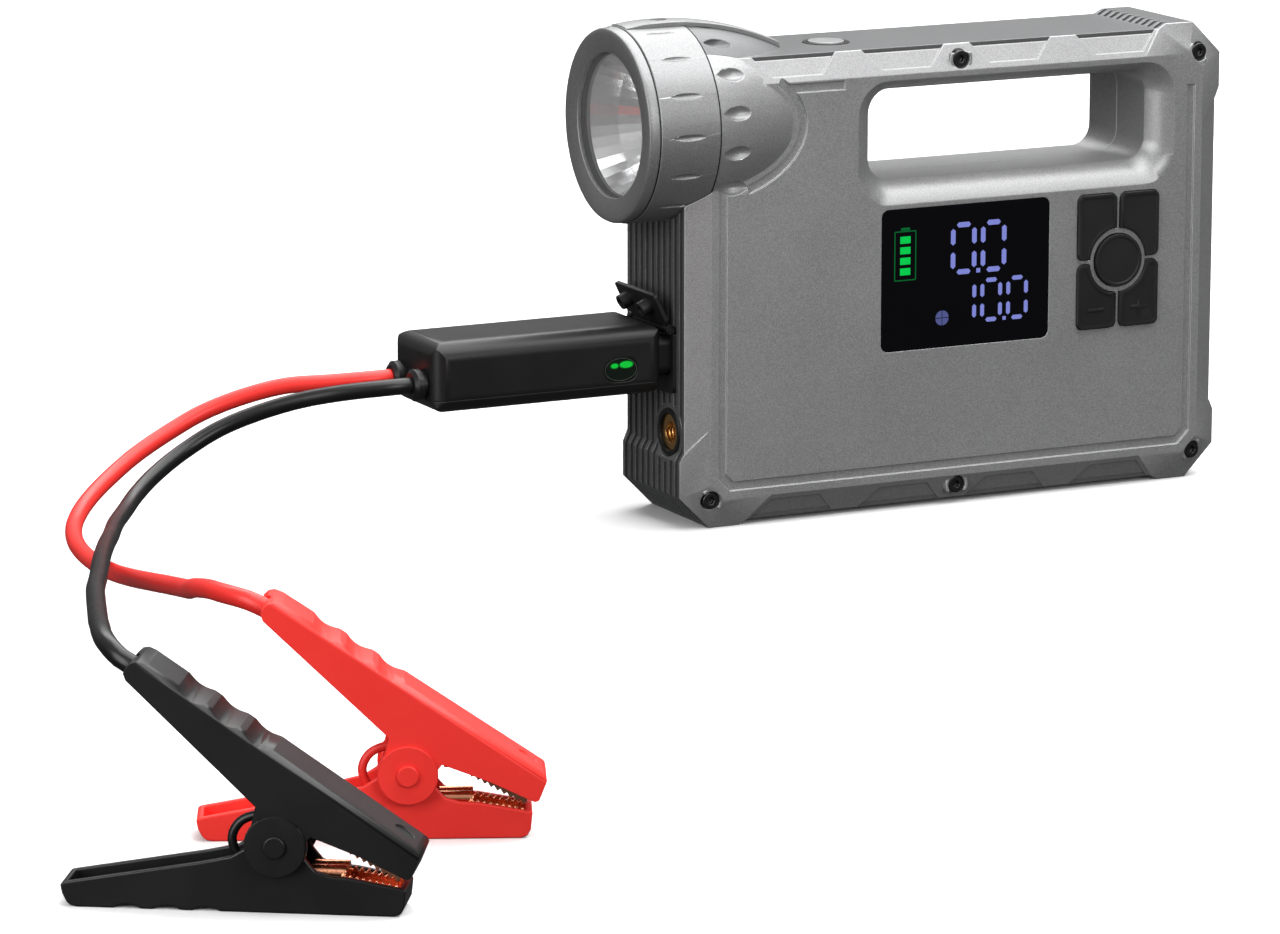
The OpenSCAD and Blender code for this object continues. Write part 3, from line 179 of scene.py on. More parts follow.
class Finish(Builder):
    def __init__(self, name):
        self.material = bpy.data.materials.new(name)
        self.material.use_nodes = True
        super().__init__(self.material.node_tree)
        self.tree.nodes.clear()
        self.where = self.add("ShaderNodeTexCoord", out="Object")

    def noise(self, scale, detail=2.0, rough=0.5, where=None):
        values = {"Vector": where or self.where, "Scale": scale, "Detail": detail, "Roughness": rough}
        return self.add("ShaderNodeTexNoise", None, values)

    def ramp(self, value, stops):
        return self.add("ShaderNodeValToRGB", {"stops": stops}, {"Fac": value})

    def rounded(self, radius):
        # which way the surface faces, as if its edges were rounded to this many mm
        return self.add("ShaderNodeBevel", {"samples": edgeRoundingAndGlint["samples"]}, {"Radius": radius * mm})

    def glintMask(self):
        # 0 on flats and up to 1 along edges, where a painted glint lightens the colour
        facing = self.add("ShaderNodeNewGeometry", out="Normal")
        same = self.add("ShaderNodeVectorMath", {"operation": "DOT_PRODUCT"},
                        {0: self.rounded(edgeRoundingAndGlint["glintRound"]), 1: facing}, "Value")
        return self.math("MINIMUM", (1 - same) * edgeRoundingAndGlint["glintGain"], 1.0)

    def bump(self, height, strength, depth):
        # texture this many mm deep, over edges that catch light as worn ones do
        worn = self.rounded(edgeRoundingAndGlint["round"])
        values = {"Height": height, "Strength": strength, "Distance": depth * mm, "Normal": worn}
        return self.add("ShaderNodeBump", None, values)

    def done(self, values):
        shader = self.add("ShaderNodeBsdfPrincipled", None, values)
        self.add("ShaderNodeOutputMaterial", None, {"Surface": shader})
        return self.material


# the room is bright above and dim below, as in a booth with black flags under the lamps
world = bpy.data.worlds.new("studio")
scene.world = world
world.use_nodes = True
world.node_tree.nodes.clear()
room = {"shades": [(0.3, 0.1), (0.5, 0.12), (0.9, 0.7)], "strength": 0.75}  # height and brightness
sky = Builder(world.node_tree)
height = sky.add("ShaderNodeSeparateXYZ", None, {"Vector": sky.add("ShaderNodeTexCoord")}, "Z")
shade = sky.add("ShaderNodeValToRGB", {"stops": room["shades"]}, {"Fac": height * 0.5 + 0.5})
light = sky.add("ShaderNodeBackground", None, {"Color": shade, "Strength": room["strength"]})
sky.add("ShaderNodeOutputWorld", None, {"Surface": light})


# finishes

def scaled(tone, by):
    return tuple(min(c * by, 1) for c in tone)


paint = {"grain": 2300, "flakes": [(0.34, 0), (0.66, 1)], "clouds": 22, "paintedGlint": 2.1, "specular": 0.45}


def satinPaint(name, dark, light, metal, rough):
    # moulded shell with metallic paint: fine flakes, slow drift of tone and gloss, and a painted glint that
    # lightens the edges
    f = Finish(name)
    flake = f.ramp(f.noise(paint["grain"], detail=2, rough=0.7), paint["flakes"])
    drift = f.noise(paint["clouds"], detail=3)
    tone = f.mix(flake * 0.7 + drift * 0.3, dark, light)
    # painted glint: edge colour lifted toward a brighter grey, standing in for highlights on the edges
    tone = f.mix(f.glintMask(), tone, scaled(light, paint["paintedGlint"]))
    return f.done({"Base Color": tone, "Metallic": metal,
                   "Roughness": flake * 0.12 + drift * 0.06 + (rough - 0.1),
                   "Normal": f.bump(flake, strength=0.25, depth=0.05),
                   "Specular IOR Level": paint["specular"]})


def mouldedPlastic(name, dark, light, rough, grain=1500, depth=0.08, strength=0.25):
    # fine spark-eroded texture, handled smooth in places
    f = Finish(name)
    texture = f.noise(grain, detail=3, rough=0.6)
    wear = f.noise(scale=35, detail=4, rough=0.6)
    return f.done({"Base Color": f.mix(wear, dark, light),
                   "Roughness": wear * 0.16 + texture * 0.1 + (rough - 0.13),
                   "Normal": f.bump(texture, strength, depth), "Specular IOR Level": 0.36})


def bareMetal(name, tone, darker, rough, stretch):
    # drawn or plated, with fine lines along the work
    f = Finish(name)
    along = f.add("ShaderNodeMapping", None, {"Vector": f.where, "Scale": stretch})
    lines = f.noise(scale=1, detail=2, rough=0.6, where=along)
    stain = f.noise(scale=140, detail=3)
    return f.done({"Base Color": f.mix(stain * 0.7, tone, darker), "Metallic": 1.0,
                   "Roughness": lines * 0.16 + stain * 0.1 + (rough - 0.12),
                   "Normal": f.bump(lines, strength=0.12, depth=0.05)})


def litPlate(name, tone, strength=1.0):
    # a lamp under a thin dark skin
    f = Finish(name)
    cells = f.noise(scale=900, detail=1)
    return f.done({"Emission Color": f.mix(cells, scaled(tone, 0.8), tone), "Emission Strength": strength,
                   "Base Color": f.mix(cells, scaled(tone, 0.05), scaled(tone, 0.1)),
                   "Roughness": 0.35, "Specular IOR Level": 0.2})


def darkGlass(name, tone):
    f = Finish(name)
    smear = f.noise(scale=18, detail=4, rough=0.65)
    return f.done({"Base Color": f.mix(smear, tone, scaled(tone, 1.6)), "Roughness": smear * 0.06 + 0.07,
                   "Specular IOR Level": 0.25})


def clearPlate(name, tone, brighter):
    f = Finish(name)
    haze = f.noise(scale=30, detail=3)
    return f.done({"Base Color": f.mix(haze, tone, brighter), "Roughness": haze * 0.04 + 0.02,
                   "Alpha": haze * 0.03 + 0.1})


def mirrorPlate(name, tone, brighter):
    f = Finish(name)
    haze = f.noise(scale=60, detail=3)
    return f.done({"Base Color": f.mix(haze, tone, brighter), "Metallic": 1.0,
                   "Roughness": haze * 0.08 + 0.17})


finishes = {
    "case_grey": satinPaint("caseGrey", (0.225, 0.226, 0.228), (0.42, 0.422, 0.425), metal=0.55, rough=0.43),
    "band_grey": satinPaint("bandGrey", (0.09, 0.091, 0.093), (0.17, 0.172, 0.175), metal=0.5, rough=0.4),
    "trim_grey": satinPaint("trimGrey", (0.18, 0.181, 0.183), (0.34, 0.342, 0.345), metal=0.6, rough=0.45),
    "black_glass": darkGlass("windowGlass", (0.0015, 0.0015, 0.0022)),
    "screen": darkGlass("screenBack", (0.02, 0.022, 0.028)),
    "board": mouldedPlastic("boardGreen", (0.02, 0.12, 0.05), (0.04, 0.18, 0.08), rough=0.45),
    "black_rubber": mouldedPlastic("keyRubber", (0.006, 0.006, 0.0064), (0.012, 0.012, 0.0128), rough=0.5,
                                   grain=1800, depth=0.05),
    "black_plastic": mouldedPlastic("satinBlack", (0.005, 0.005, 0.0052), (0.01, 0.01, 0.0105), rough=0.36,
                                    grain=1900, depth=0.05, strength=0.2),
    "black_steel": bareMetal("blackOxide", (0.09, 0.09, 0.093), (0.05, 0.05, 0.052),
                             rough=0.3, stretch=(900, 900, 900)),
    "cell_wrap": mouldedPlastic("cellWrap", (0.04, 0.14, 0.32), (0.06, 0.18, 0.38), rough=0.3, grain=400),
    "holder": mouldedPlastic("holderBlack", (0.02, 0.02, 0.022), (0.04, 0.04, 0.043), rough=0.5),
    "motor_steel": bareMetal("motorCan", (0.6, 0.6, 0.62), (0.45, 0.45, 0.46),
                             rough=0.35, stretch=(200, 2500, 2500)),
    "cast_alloy": bareMetal("castAlloy", (0.6, 0.61, 0.62), (0.4, 0.4, 0.41),
                            rough=0.5, stretch=(900, 900, 900)),
    "brass": bareMetal("brass", (0.83, 0.5, 0.19), (0.6, 0.32, 0.1),
                       rough=0.27, stretch=(2500, 300, 300)),
    "clear_lens": clearPlate("lampLens", (0.93, 0.95, 0.96), (1, 1, 1)),
    "chrome": mirrorPlate("reflectorChrome", (0.86, 0.87, 0.88), (0.95, 0.95, 0.95)),
    "led_yellow": litPlate("lampChip", (0.95, 0.8, 0.3), strength=0.6),
    "green_window": mouldedPlastic("statusWindow", (0.003, 0.006, 0.0035), (0.004, 0.008, 0.005), rough=0.22,
                                   grain=900, depth=0.02, strength=0.1),
    "red_plastic": mouldedPlastic("clampRed", (0.86, 0.03, 0.024), (0.94, 0.045, 0.035), rough=0.42,
                                  grain=1300, depth=0.07),
    "red_rubber": mouldedPlastic("leadRed", (0.74, 0.024, 0.02), (0.82, 0.036, 0.028), rough=0.36,
                                 grain=700, depth=0.04, strength=0.12),
    "lead_rubber": mouldedPlastic("leadBlack", (0.004, 0.004, 0.0042), (0.008, 0.008, 0.0085), rough=0.34,
                                  grain=700, depth=0.04, strength=0.12),
    "copper": bareMetal("jawCopper", (1.0, 0.46, 0.27), (0.85, 0.32, 0.17),
                        rough=0.24, stretch=(700, 700, 2600)),
    "spring_steel": bareMetal("springSteel", (0.75, 0.75, 0.76), (0.55, 0.55, 0.56),
                              rough=0.25, stretch=(1800, 1800, 500)),
}
extraFinishes = {
    "digits": litPlate("digitViolet", (0.215, 0.245, 0.66)),
    "ball": litPlate("ballViolet", (0.08, 0.094, 0.26)),
    "cells": litPlate("cellGreen", (0.0, 0.6, 0.075)),
    "cellLine": litPlate("cellLineGreen", (0.0, 0.12, 0.025)),
    "lampGreen": litPlate("statusGreen", (0.005, 0.5, 0.04), strength=1.1),
    "glowGreen": litPlate("glowGreen", (0.0, 0.06, 0.006)),
    "hairline": mouldedPlastic("hairlineGrey", (0.07, 0.07, 0.065), (0.1, 0.1, 0.095), rough=0.4),
    "seam": mouldedPlastic("seamBlack", (0.004, 0.004, 0.004), (0.007, 0.007, 0.007), rough=0.6),
}
for name, ob in nodes.items():
    ob.data.materials.clear()
    ob.data.materials.append(finishes[slotOf[name]])
print("finishes ready:", len(finishes) + len(extraFinishes))


# making pieces

def smoothed(mesh, angle):
    # smooth shading, but for edges sharper than the angle in degrees
    mesh.polygons.foreach_set("use_smooth", [True] * len(mesh.polygons))
    mesh.set_sharp_from_angle(angle=math.radians(angle))


def newPiece(name, mesh, finish, body=None, smooth=None):
    ob = bpy.data.objects.new(name, mesh)
    scene.collection.objects.link(ob)
    mesh.materials.clear()
    mesh.materials.append(finish)
    if smooth:
        smoothed(mesh, smooth)
    if body:
        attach(ob, body)
    return ob


def plainMesh(name, points, faces):
    mesh = bpy.data.meshes.new(name)
    mesh.from_pydata([tuple(p) for p in points], [], faces)
    mesh.validate()
    return mesh


def baked(ob):
    # the evaluated shape as a plain mesh, with no modifiers left
    depsgraph = bpy.context.evaluated_depsgraph_get()
    mesh = bpy.data.meshes.new_from_object(ob.evaluated_get(depsgraph), preserve_all_data_layers=True,
                                           depsgraph=depsgraph)
    ob.modifiers.clear()
    old = ob.data
    ob.data = mesh
    bpy.data.meshes.remove(old)
    return mesh


# joined, sliver and narrow are in mm, flat, corner and sharp in degrees
edging = {"joined": 0.002, "sliver": 0.04, "flat": 0.6, "corner": 26, "sharp": 50, "narrow": 0.2}


def mergedMesh(name):
    # a copy of a part with its triangles joined into whole faces
    form = bmesh.new()
    form.from_mesh(nodes[name].data)
    bmesh.ops.remove_doubles(form, verts=form.verts, dist=edging["joined"] * mm)
    bmesh.ops.dissolve_degenerate(form, edges=form.edges, dist=edging["sliver"] * mm)
    flat = math.radians(edging["flat"])
    bmesh.ops.dissolve_limit(form, angle_limit=flat, verts=form.verts, edges=form.edges)
    mesh = bpy.data.meshes.new(name + "Edged")
    form.to_mesh(mesh)
    form.free()
    return mesh


def softened(name, width, steps):
    # stands for a part, with its sharp edges rounded by the width in mm
    mesh = mergedMesh(name)
    ob = bpy.data.objects.new(name + "Edged", mesh)
    scene.collection.objects.link(ob)
    if width:
        edge = ob.modifiers.new("edge", "BEVEL")
        edge.width = width * mm
        edge.segments = steps
        edge.limit_method = "ANGLE"
        edge.angle_limit = math.radians(edging["corner"])
        edge.use_clamp_overlap = False
    even = ob.modifiers.new("even", "WEIGHTED_NORMAL")
    even.keep_sharp = True
    smoothed(mesh, edging["sharp"])
    result = baked(ob)
    result.materials.clear()
    result.materials.append(finishes[slotOf[name]])
    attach(ob, bodyOf[name])
    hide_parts(name)


def smoothLine(points, step):
    # an even curve through the points, with a point about every step
    line = []
    for i in range(len(points) - 1):
        a, b, c, d = (points[j] for j in (max(i - 1, 0), i, i + 1, min(i + 2, len(points) - 1)))
        count = max(1, round((c - b).length / step))
        for k in range(count):
            t = k / count
            line.append(0.5 * (2 * b + (c - a) * t + (2 * a - 5 * b + 4 * c - d) * t * t
                               + (3 * b - a - 3 * c + d) * t ** 3))
    return line + [points[-1]]


def tubeMesh(name, line, radius, sides):
    # a round tube along the line, untwisted and closed at both ends
    points, faces = [], []
    normal = Vector((0, 0, 1))
    for i, p in enumerate(line):
        along = (line[min(i + 1, len(line) - 1)] - line[max(i - 1, 0)]).normalized()
        normal = (normal - along * normal.dot(along)).normalized()
        across = along.cross(normal)
        for k in range(sides):
            a = 2 * math.pi * k / sides
            points.append(p + radius * (math.cos(a) * normal + math.sin(a) * across))
    for i in range(len(line) - 1):
        for k in range(sides):
            a, b = i * sides + k, i * sides + (k + 1) % sides
            faces.append((a, b, b + sides, a + sides))
    faces.append(tuple(range(sides))[::-1])
    faces.append(tuple((len(line) - 1) * sides + k for k in range(sides)))
    return plainMesh(name, points, faces)


def clampPoint(clamp, u, w, v):
    # a clamp's own point: u to the jaws, w across, v up, in mm, as a point in metres
    a = math.radians(clamp["heading"])
    x, y = clamp["spot"]
    return Vector((x + u * math.cos(a) - w * math.sin(a), y + u * math.sin(a) + w * math.cos(a), v)) * mm


# leads: a route lies in the pack's frame and its turn into the lever in the clamp's, all in mm

clamps = {
    "red": {"spot": (-427.2, -336.6), "heading": -24},
    "black": {"spot": (-488.4, -384.4), "heading": -33},
}
stop = {"u": 27.6, "v": 65.6, "lean": math.radians(-34), "inside": (9, 4, 0)}  # in the lever
leadSize = {"width": 6.2, "sides": 20, "step": 3, "level": 8}
leads = {
    "red": {"finish": "red_rubber", "start": (-210.75, 9, 62.2),
            "bend": [(-396, -232, 52), (-413, -334, 72)],
            "route": [(-233.5, 13, 61.5), (-248.5, 19, 60.5), (-263.5, 23.5, 57), (-278.5, 26, 52),
                      (-293, 24.5, 46), (-307.5, 20, 40), (-320.5, 12.5, 34.5), (-332, 2, 30.5),
                      (-341.5, -10, 27.5), (-350, -26, 25.5), (-357.5, -49, 25), (-364, -80.5, 26.5),
                      (-370, -115.5, 30.5), (-377.5, -152.5, 37), (-386.5, -189, 44.5),
                      (-393.5, -221.5, 51), (-399, -250.5, 56.5), (-405.5, -273.5, 61.5),
                      (-411, -290, 66)],
            "turn": [(-1.5, 32, 70), (2, 19.5, 72.5), (5.2, 12, 73.3), (9, 6.3, 73.6), (14.2, 2, 73)]},
    "black": {"finish": "lead_rubber", "start": (-210.75, -9, 62.2),
              "bend": [(-430, -256, 58), (-476, -384, 76)],
              "route": [(-234.5, -2.5, 60.5), (-248, 5.5, 57.5), (-262, 12, 53), (-276.5, 15.5, 47.5),
                        (-291, 15, 40.5), (-304.5, 9, 34.5), (-316, -1, 30), (-326.5, -15.5, 27.5),
                        (-337.5, -35, 28), (-349, -60, 30), (-363.5, -93, 35), (-379, -129.5, 40.5),
                        (-394, -166, 46), (-409, -203, 51), (-423.5, -238, 56), (-435.5, -269.5, 60.5),
                        (-446, -297.5, 64.5), (-455, -321.5, 68.5), (-462.5, -341.5, 72)],
              "turn": [(3, 30.5, 75), (6, 18, 76.5), (8.3, 10.8, 76.4), (11.2, 5, 75.4), (15, 1.4, 73.2)]},
}
leadPieces = {}
for colour, lead in leads.items():
    clamp = clamps[colour]
    start = Vector(lead["start"]) * mm
    inside = [(stop["u"] - back * math.cos(stop["lean"]), 0, stop["v"] - back * math.sin(stop["lean"]))
              for back in stop["inside"]]
    points = [start, start - Vector((leadSize["level"], 0, 0)) * mm]
    points += [Vector(p) * mm for p in lead["route"]]
    points += [clampPoint(clamp, *p) for p in lead["turn"] + inside]
    line = smoothLine(points, leadSize["step"] * mm)
    length = sum((b - a).length for a, b in zip(line, line[1:]))
    mesh = tubeMesh(colour + "Lead", line, leadSize["width"] / 2 * mm, leadSize["sides"])
    ob = newPiece(colour + "Lead", mesh, finishes[lead["finish"]], smooth=40)
    colour + "_handle"
    [c * mm for c in lead["bend"][0]]
    [c * mm for c in lead["bend"][1]]
    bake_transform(ob)
    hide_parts(colour + "_lead")
    leadPieces[colour] = {"piece": ob, "exit": start, "length": length, "line": line}
    print(colour, "lead:", round(length, 4), "m")

# floor, which the pack's own paint doesn't mirror

floorSheet = {"half": 9, "tone": (0.86, 0.86, 0.86), "grain": 40, "brighter": 1.02}
h = floorSheet["half"]
floorMesh = plainMesh("floor", [(-h, -h, 0), (h, -h, 0), (h, h, 0), (-h, h, 0)], [(0, 1, 2, 3)])
f = Finish("paper")
paper = f.noise(floorSheet["grain"], detail=3)
tone = f.mix(paper, floorSheet["tone"], scaled(floorSheet["tone"], floorSheet["brighter"]))
floorFinish = f.done({"Base Color": tone, "Roughness": paper * 0.1 + 0.75, "Specular IOR Level": 0.1})
floor = newPiece("floor", floorMesh, floorFinish)
floor.visible_diffuse = False
floor.visible_glossy = False

# rigid parts with rounded edges, in mm, each as wide as its thinnest rib allows; 0 keeps an edge sharp

edgeWidths = {
    "front_shell": 0.12, "rear_shell": 0.12, "side_band": 0.11, "lamp_bezel": 0.2, "lamp_ring": 0.12,
    "lamp_tongue": 0.15, "top_switch": 0.3, "top_switch_ring": 0.2, "box_top": 0.12, "box_base": 0.3,
    "box_plug": 0.4, "socket_frame": 0, "socket_flap": 0.12, "air_outlet": 0.25, "air_outlet_rim": 0.3,
    "case_screws": 0.25, "tongue_screw": 0.15, "mode_button": 0, "air_button": 0, "minus_button": 0,
    "plus_button": 0, "power_button": 0.15,
}
clampEdges = {  # width and steps
    "_upper_lever": (0, 2), "_lower_lever": (0.5, 3), "_pin": (0.35, 3),
    "_upper_jaw": (0.12, 2), "_lower_jaw": (0.12, 2),
}
for name, width in edgeWidths.items():
    softened(name, width, 1 if width < edging["narrow"] else 2)
for colour in clamps:
    for part, (width, steps) in clampEdges.items():
        softened(colour + part, width, steps)
print("rigid parts edged")

# lit figures on the display, in mm

display = {
    "y": -29.03, "thick": 0.05,
    "tip": 0.42, "dot": 0.84, "level": 0.95,  # shares of a bar's width, and of its length
    "rows": [
        {"digits": [(10.75, "0"), (23.8, "0")], "point": 17.2, "z": 99.4,
         "rise": 9.05, "half": 4.6, "bar": 6.4, "wide": 2.0},
        {"digits": [(11.7, "1"), (23.0, "0"), (34.35, "0")], "point": 28.8, "z": 78.6,
         "rise": 7.65, "half": 3.9, "bar": 5.2, "wide": 1.7},
    ],
}
battery = {"x": -14.55, "z": 98.35, "w": 9.0, "h": 18.7, "line": 0.45, "cap": (3.8, 1.1), "capGap": 0.35,
           "bar": (4.4, 0.1, 2.7), "pitch": 4.05, "count": 4, "first": 92.3}
ball = {"x": 1.64, "z": 73.2, "r": 2.7, "apart": 0.1974, "steps": 8}


def slab(outline, y, thick):
    # a thin plate from points in x and z, facing the front
    count = len(outline)
    points = [Vector((x, deep, z)) * mm for deep in (y, y + thick) for x, z in outline]
    faces = [tuple(range(count)), tuple(range(2 * count - 1, count - 1, -1))]
    faces += [((k + 1) % count, k, k + count, (k + 1) % count + count) for k in range(count)]
    return points, faces


def slabsPiece(name, outlines, finish, body, y, thick):
    points, faces = [], []
    for outline in outlines:
        area = sum(a[0] * b[1] - b[0] * a[1] for a, b in zip(outline, outline[1:] + outline[:1]))
        p, q = slab(outline if area > 0 else outline[::-1], y, thick)
        faces += [tuple(i + len(points) for i in face) for face in q]
        points += p
    newPiece(name, plainMesh(name, points, faces), extraFinishes[finish], body)


def block(x, z, w, h):
    return [(x - w / 2, z - h / 2), (x + w / 2, z - h / 2), (x + w / 2, z + h / 2), (x - w / 2, z + h / 2)]


def segment(x, z, length, wide, upright):
    # a bar with pointed ends
    a, b, c = length / 2, length / 2 - wide * display["tip"], wide / 2
    shape = [(-a, 0), (-b, -c), (b, -c), (a, 0), (b, c), (-b, c)]
    return [(x + q, z + p) if upright else (x + p, z + q) for p, q in shape]


figures = []
for row in display["rows"]:
    z, rise, bar, wide = row["z"], row["rise"], row["bar"], row["wide"]
    for x, digit in row["digits"]:
        for side in ((1,) if digit == "1" else (-1, 1)):
            for up in (-1, 1):
                figures.append(segment(x + side * row["half"], z + up * rise / 2, bar, wide, True))
        if digit == "0":
            for up in (-1, 1):
                figures.append(segment(x, z + up * rise, bar * display["level"], wide, False))
    dot = wide * display["dot"]
    figures.append(block(row["point"], z - rise, dot, dot))
slabsPiece("displayFigures", figures, "digits", "pack", display["y"], display["thick"])

quarters = []  # of a disc, moved apart
for quarter in range(4):
    first = math.pi / 2 * quarter
    x = ball["x"] + ball["apart"] * math.cos(first + math.pi / 4)
    z = ball["z"] + ball["apart"] * math.sin(first + math.pi / 4)
    arc = [first + math.pi / 2 * k / ball["steps"] for k in range(ball["steps"] + 1)]
    quarters.append([(x, z)] + [(x + ball["r"] * math.cos(a), z + ball["r"] * math.sin(a)) for a in arc])
slabsPiece("ballSymbol", quarters, "ball", "pack", display["y"], display["thick"])

x, z, w, h = battery["x"], battery["z"], battery["w"], battery["h"]
outline = [block(x + side * w / 2, z, battery["line"], h) for side in (-1, 1)]
outline += [block(x, z + up * h / 2, w, battery["line"]) for up in (-1, 1)]
capWide, capHigh = battery["cap"]
outline.append(block(x, z + h / 2 + battery["capGap"] + capHigh / 2, capWide, capHigh))
slabsPiece("batterySymbol", outline, "cellLine", "pack", display["y"], display["thick"])


# battery bars and reflector, by geometry nodes

def geometryPiece(name, inputs, build, finish, body):
    # builds a tree with named inputs, runs it once and keeps the plain mesh
    tree = bpy.data.node_groups.new(name, "GeometryNodeTree")
    tree.interface.new_socket("Geometry", in_out="INPUT", socket_type="NodeSocketGeometry")
    tree.interface.new_socket("Geometry", in_out="OUTPUT", socket_type="NodeSocketGeometry")
    sockets = {}
    for key, value in inputs.items():
        kind = "NodeSocketInt" if isinstance(value, int) else "NodeSocketFloat"
        sockets[key] = tree.interface.new_socket(key, in_out="INPUT", socket_type=kind)
    b = Builder(tree)
    source = b.add("NodeGroupInput")
    shape = build(b, {key: source.port(key) for key in inputs})
    shape = b.add("GeometryNodeRealizeInstances", None, {"Geometry": shape})
    shape = b.add("GeometryNodeSetMaterial", None, {"Geometry": shape, "Material": finish})
    b.add("NodeGroupOutput", None, {"Geometry": shape})
    ob = bpy.data.objects.new(name, bpy.data.meshes.new(name))
    scene.collection.objects.link(ob)
    modifier = ob.modifiers.new("shape", "NODES")
    modifier.node_group = tree
    for key, value in inputs.items():
        modifier[sockets[key].identifier] = value
    mesh = baked(ob)
    mesh.materials.clear()
    mesh.materials.append(finish)
    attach(ob, body)
    return ob


barWide, barDeep, barHigh = battery["bar"]
batteryBars = {"Bar width": barWide * mm, "Bar depth": barDeep * mm, "Bar height": barHigh * mm,
               "Pitch": battery["pitch"] * mm, "Bars": battery["count"], "Middle x": battery["x"] * mm,
               "First z": battery["first"] * mm, "Front y": display["y"] * mm}


def buildBars(b, v):
    size = {"X": v["Bar width"], "Y": v["Bar depth"], "Z": v["Bar height"]}
    bar = b.add("GeometryNodeMeshCube", None, {"Size": b.add("ShaderNodeCombineXYZ", None, size)})
    start = b.add("ShaderNodeCombineXYZ", None, {"X": v["Middle x"], "Y": v["Front y"], "Z": v["First z"]})
    pitch = b.add("ShaderNodeCombineXYZ", None, {"Z": v["Pitch"]})
    row = b.add("GeometryNodeMeshLine", None, {"Count": v["Bars"], "Start Location": start,
                                               "Offset": pitch})
    return b.add("GeometryNodeInstanceOnPoints", None, {"Points": row, "Instance": bar})


geometryPiece("batteryBars", batteryBars, buildBars, extraFinishes["cells"], "pack")

reflector = {"Front radius": 26.8 * mm, "Back radius": 5.5 * mm, "Front x": -119.8 * mm,
             "Depth": 28.6 * mm, "Axis z": 151.7 * mm, "Curve": 0.6, "Petals": 38, "Rings": 3,
             "Join": 0.01 * mm}


def buildReflector(b, v):
    # a grid rolled into a bowl, left flat between its lines so that it is faceted
    grid = b.add("GeometryNodeMeshGrid", None, {"Size X": 1.0, "Size Y": 1.0, "Vertices X": v["Petals"] + 1,
                                                "Vertices Y": v["Rings"] + 1})
    place = b.add("ShaderNodeSeparateXYZ", None, {"Vector": b.add("GeometryNodeInputPosition")})
    turn = (place + 0.5) * (2 * math.pi)
    deep = place.port("Y") + 0.5
    radius = v["Back radius"] + (v["Front radius"] - v["Back radius"]) * ((1 - deep) ** v["Curve"])
    point = b.add("ShaderNodeCombineXYZ", None, {"X": v["Front x"] + v["Depth"] * deep,
                                                 "Y": radius * b.math("COSINE", turn),
                                                 "Z": v["Axis z"] + radius * b.math("SINE", turn)})
    bowl = b.add("GeometryNodeSetPosition", None, {"Geometry": grid, "Position": point})
    bowl = b.add("GeometryNodeMergeByDistance", None, {"Geometry": bowl, "Distance": v["Join"]})
    return b.add("GeometryNodeSetShadeSmooth", None, {"Geometry": bowl, "Shade Smooth": False})


bowl = geometryPiece("reflectorBowl", reflector, buildReflector, finishes["chrome"], "pack")
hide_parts("lamp_reflector")

# thin black gaskets in the seams round the lamp, in mm

seams = {"z": 151.7, "at": [(-121.45, 36.5), (-96.75, 36.72)], "wire": 0.3, "sides": 8, "around": 120}
points, faces = [], []
around, sides = seams["around"], seams["sides"]
for x, radius in seams["at"]:
    base = len(points)
    for i in range(around):
        for k in range(sides):
            a, b = 2 * math.pi * i / around, 2 * math.pi * k / sides
            r = radius + seams["wire"] * math.cos(b)
            points.append(Vector((x + seams["wire"] * math.sin(b), r * math.cos(a),
                                  seams["z"] + r * math.sin(a))) * mm)
            here, there = base + i * sides, base + (i + 1) % around * sides
            q = (k + 1) % sides
            faces.append((here + k, here + q, there + q, there + k))
mesh = plainMesh("lampSeams", points, faces)
newPiece("lampSeams", mesh, extraFinishes["seam"], "pack", smooth=60)

# thread in the air port, in mm

thread = {"axis": (-11.5, 35.6), "from": -104.4, "pitch": 1.25, "turns": 5, "radius": 3.95, "ridge": 0.42,
          "steps": 28, "sides": 6}
line = []
for i in range(thread["turns"] * thread["steps"] + 1):
    turn = i / thread["steps"]
    a = 2 * math.pi * turn
    line.append(Vector((thread["from"] + thread["pitch"] * turn,
                        thread["axis"][0] + thread["radius"] * math.cos(a),
                        thread["axis"][1] + thread["radius"] * math.sin(a))) * mm)
mesh = tubeMesh("portThread", line, thread["ridge"] * mm, thread["sides"])
newPiece("portThread", mesh, finishes["brass"], "pack", smooth=70)
print("display and reflector done")

# status light, in mm: each light is an oval at x and z, with half its width and height

status = {"x": -129.25, "z": 62.9, "y": -18.86, "lights": [(-2.6, 1.5, 1.5, 0.9), (2.2, 1.7, 2.7, 1.25)],
          "thick": 0.04, "glow": (0.6, 0.36), "oval": (6.6, 4.3), "line": 0.16, "lineThick": 0.05,
          "lightSteps": 28, "ovalSteps": 40}


def roundOutline(x, z, halfWide, halfHigh, steps):
    turns = [2 * math.pi * k / steps for k in range(steps)]
    x, z = status["x"] + x, status["z"] + z
    return [(x + halfWide * math.cos(a), z + halfHigh * math.sin(a)) for a in turns]


steps, count = status["lightSteps"], status["ovalSteps"]
glowWide, glowHigh = status["glow"]
lit = [roundOutline(*light, steps) for light in status["lights"]]
halo = [roundOutline(x, z, w + glowWide, h + glowHigh, steps) for x, z, w, h in status["lights"]]
w, h = status["oval"]
outer, inner = (roundOutline(0, 0, w - d, h - d, count) for d in (0, status["line"]))
oval = [[outer[k], outer[(k + 1) % count], inner[(k + 1) % count], inner[k]] for k in range(count)]
front, thick = status["y"], status["thick"]
slabsPiece("statusLights", lit, "lampGreen", "leads", front - thick, thick)
slabsPiece("statusGlow", halo, "glowGreen", "leads", front, thick)
slabsPiece("statusOval", oval, "hairline", "leads", front, status["lineThick"])

# jumper wires and springs, in the clamps' own frames and in mm

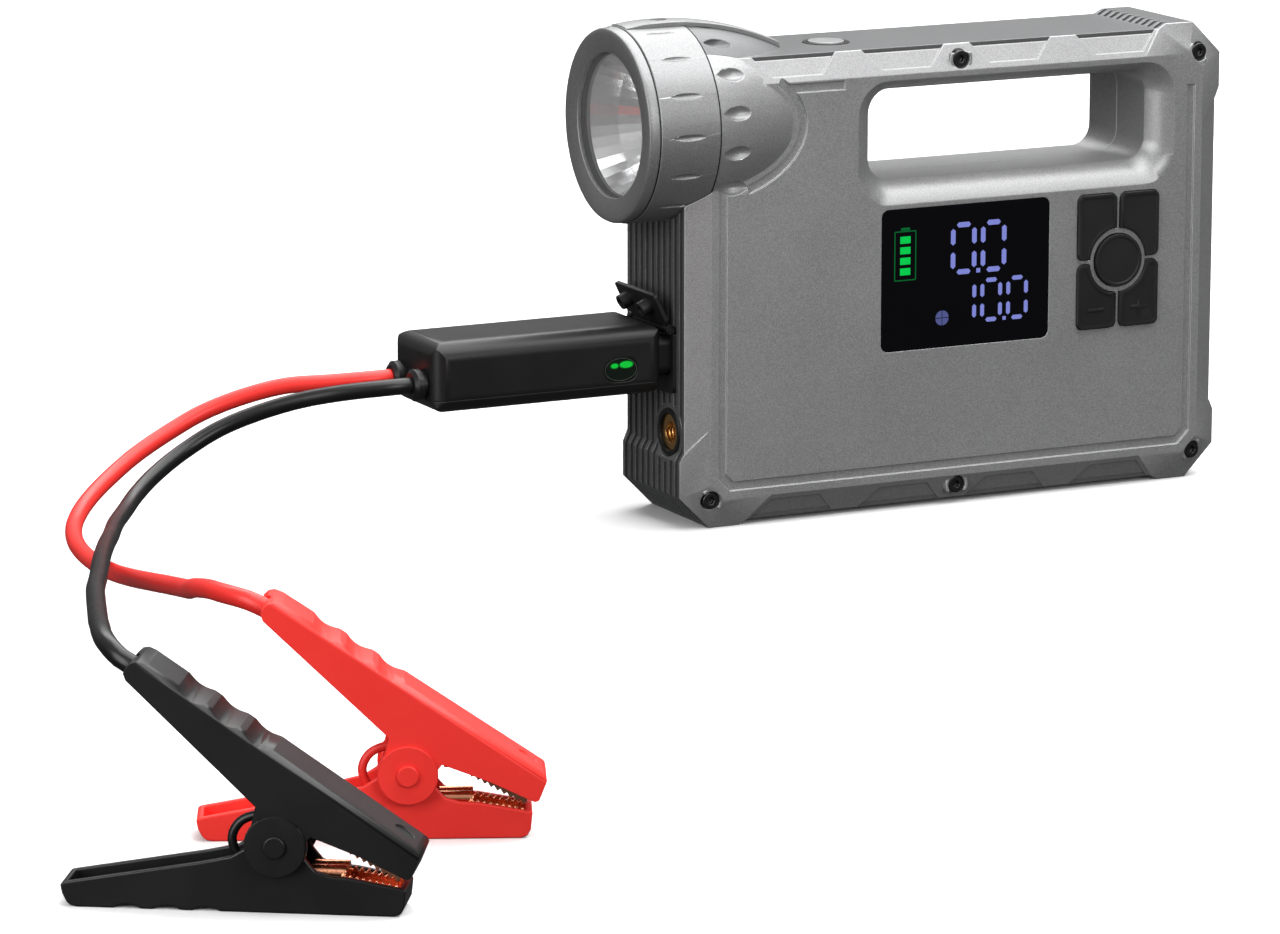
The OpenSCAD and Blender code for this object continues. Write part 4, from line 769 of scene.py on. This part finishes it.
jumper = {"wire": 1.4, "sides": 14, "step": 1.2, "part": "_jumper", "bend": [(60, 0, 14), (64, 0, 26)],
          "points": [(75.4, -2.6, 23.6), (72, -2.6, 23.6), (66.5, -2.8, 26.6), (61, -3, 28.4),
                     (55.5, -3.2, 28.4), (50.6, -3.2, 26.2), (48.2, -3.2, 21.8), (49.2, -3.2, 17.4),
                     (52.6, -3, 14.2), (58, -2.8, 12.2), (65, -2.7, 11.6), (70.5, -2.6, 11.6),
                     (74.5, -2.6, 11.6)]}
spring = {"wire": 0.8, "sides": 12, "part": "_spring", "bend": [(58, 0, 12), (61, 0, 34)],
          "radius": 5.4, "rise": 2.1, "turns": 2.25, "first": 294, "steps": 54, "pivot": (62, 20.8),
          "low": [(36, 0, 3.5), (50, 0, 9.8)], "high": [(60.6, 4.725, 39), (53, 4.725, 50.6)]}
pivotU, pivotV = spring["pivot"]
coil = []
for i in range(spring["steps"] + 1):
    turn = spring["turns"] * i / spring["steps"]
    a = math.radians(spring["first"] + 360 * turn)
    coil.append((pivotU + spring["radius"] * math.cos(a), turn * spring["rise"],
                 pivotV + spring["radius"] * math.sin(a)))


def clampTube(colour, kind, line, size, slot):
    # stands for the clamp's own wire or spring
    mesh = tubeMesh(colour + kind, line, size["wire"] * mm, size["sides"])
    ob = newPiece(colour + kind, mesh, finishes[slot], smooth=40)
    start, end = (clampPoint(clamps[colour], *p) for p in size["bend"])
    colour + "_handle"
    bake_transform(ob)
    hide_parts(colour + size["part"])


for colour, clamp in clamps.items():
    line = smoothLine([clampPoint(clamp, *p) for p in jumper["points"]], jumper["step"] * mm)
    clampTube(colour, "Wire", line, jumper, leads[colour]["finish"])
    line = [clampPoint(clamp, *p) for p in spring["low"] + coil + spring["high"]]
    clampTube(colour, "Spring", line, spring, "spring_steel")

# cords

for colour, lead in leadPieces.items():
    onLead = [colour + part + "Edged" for part in clampEdges] + [colour + "Wire", colour + "Spring"]
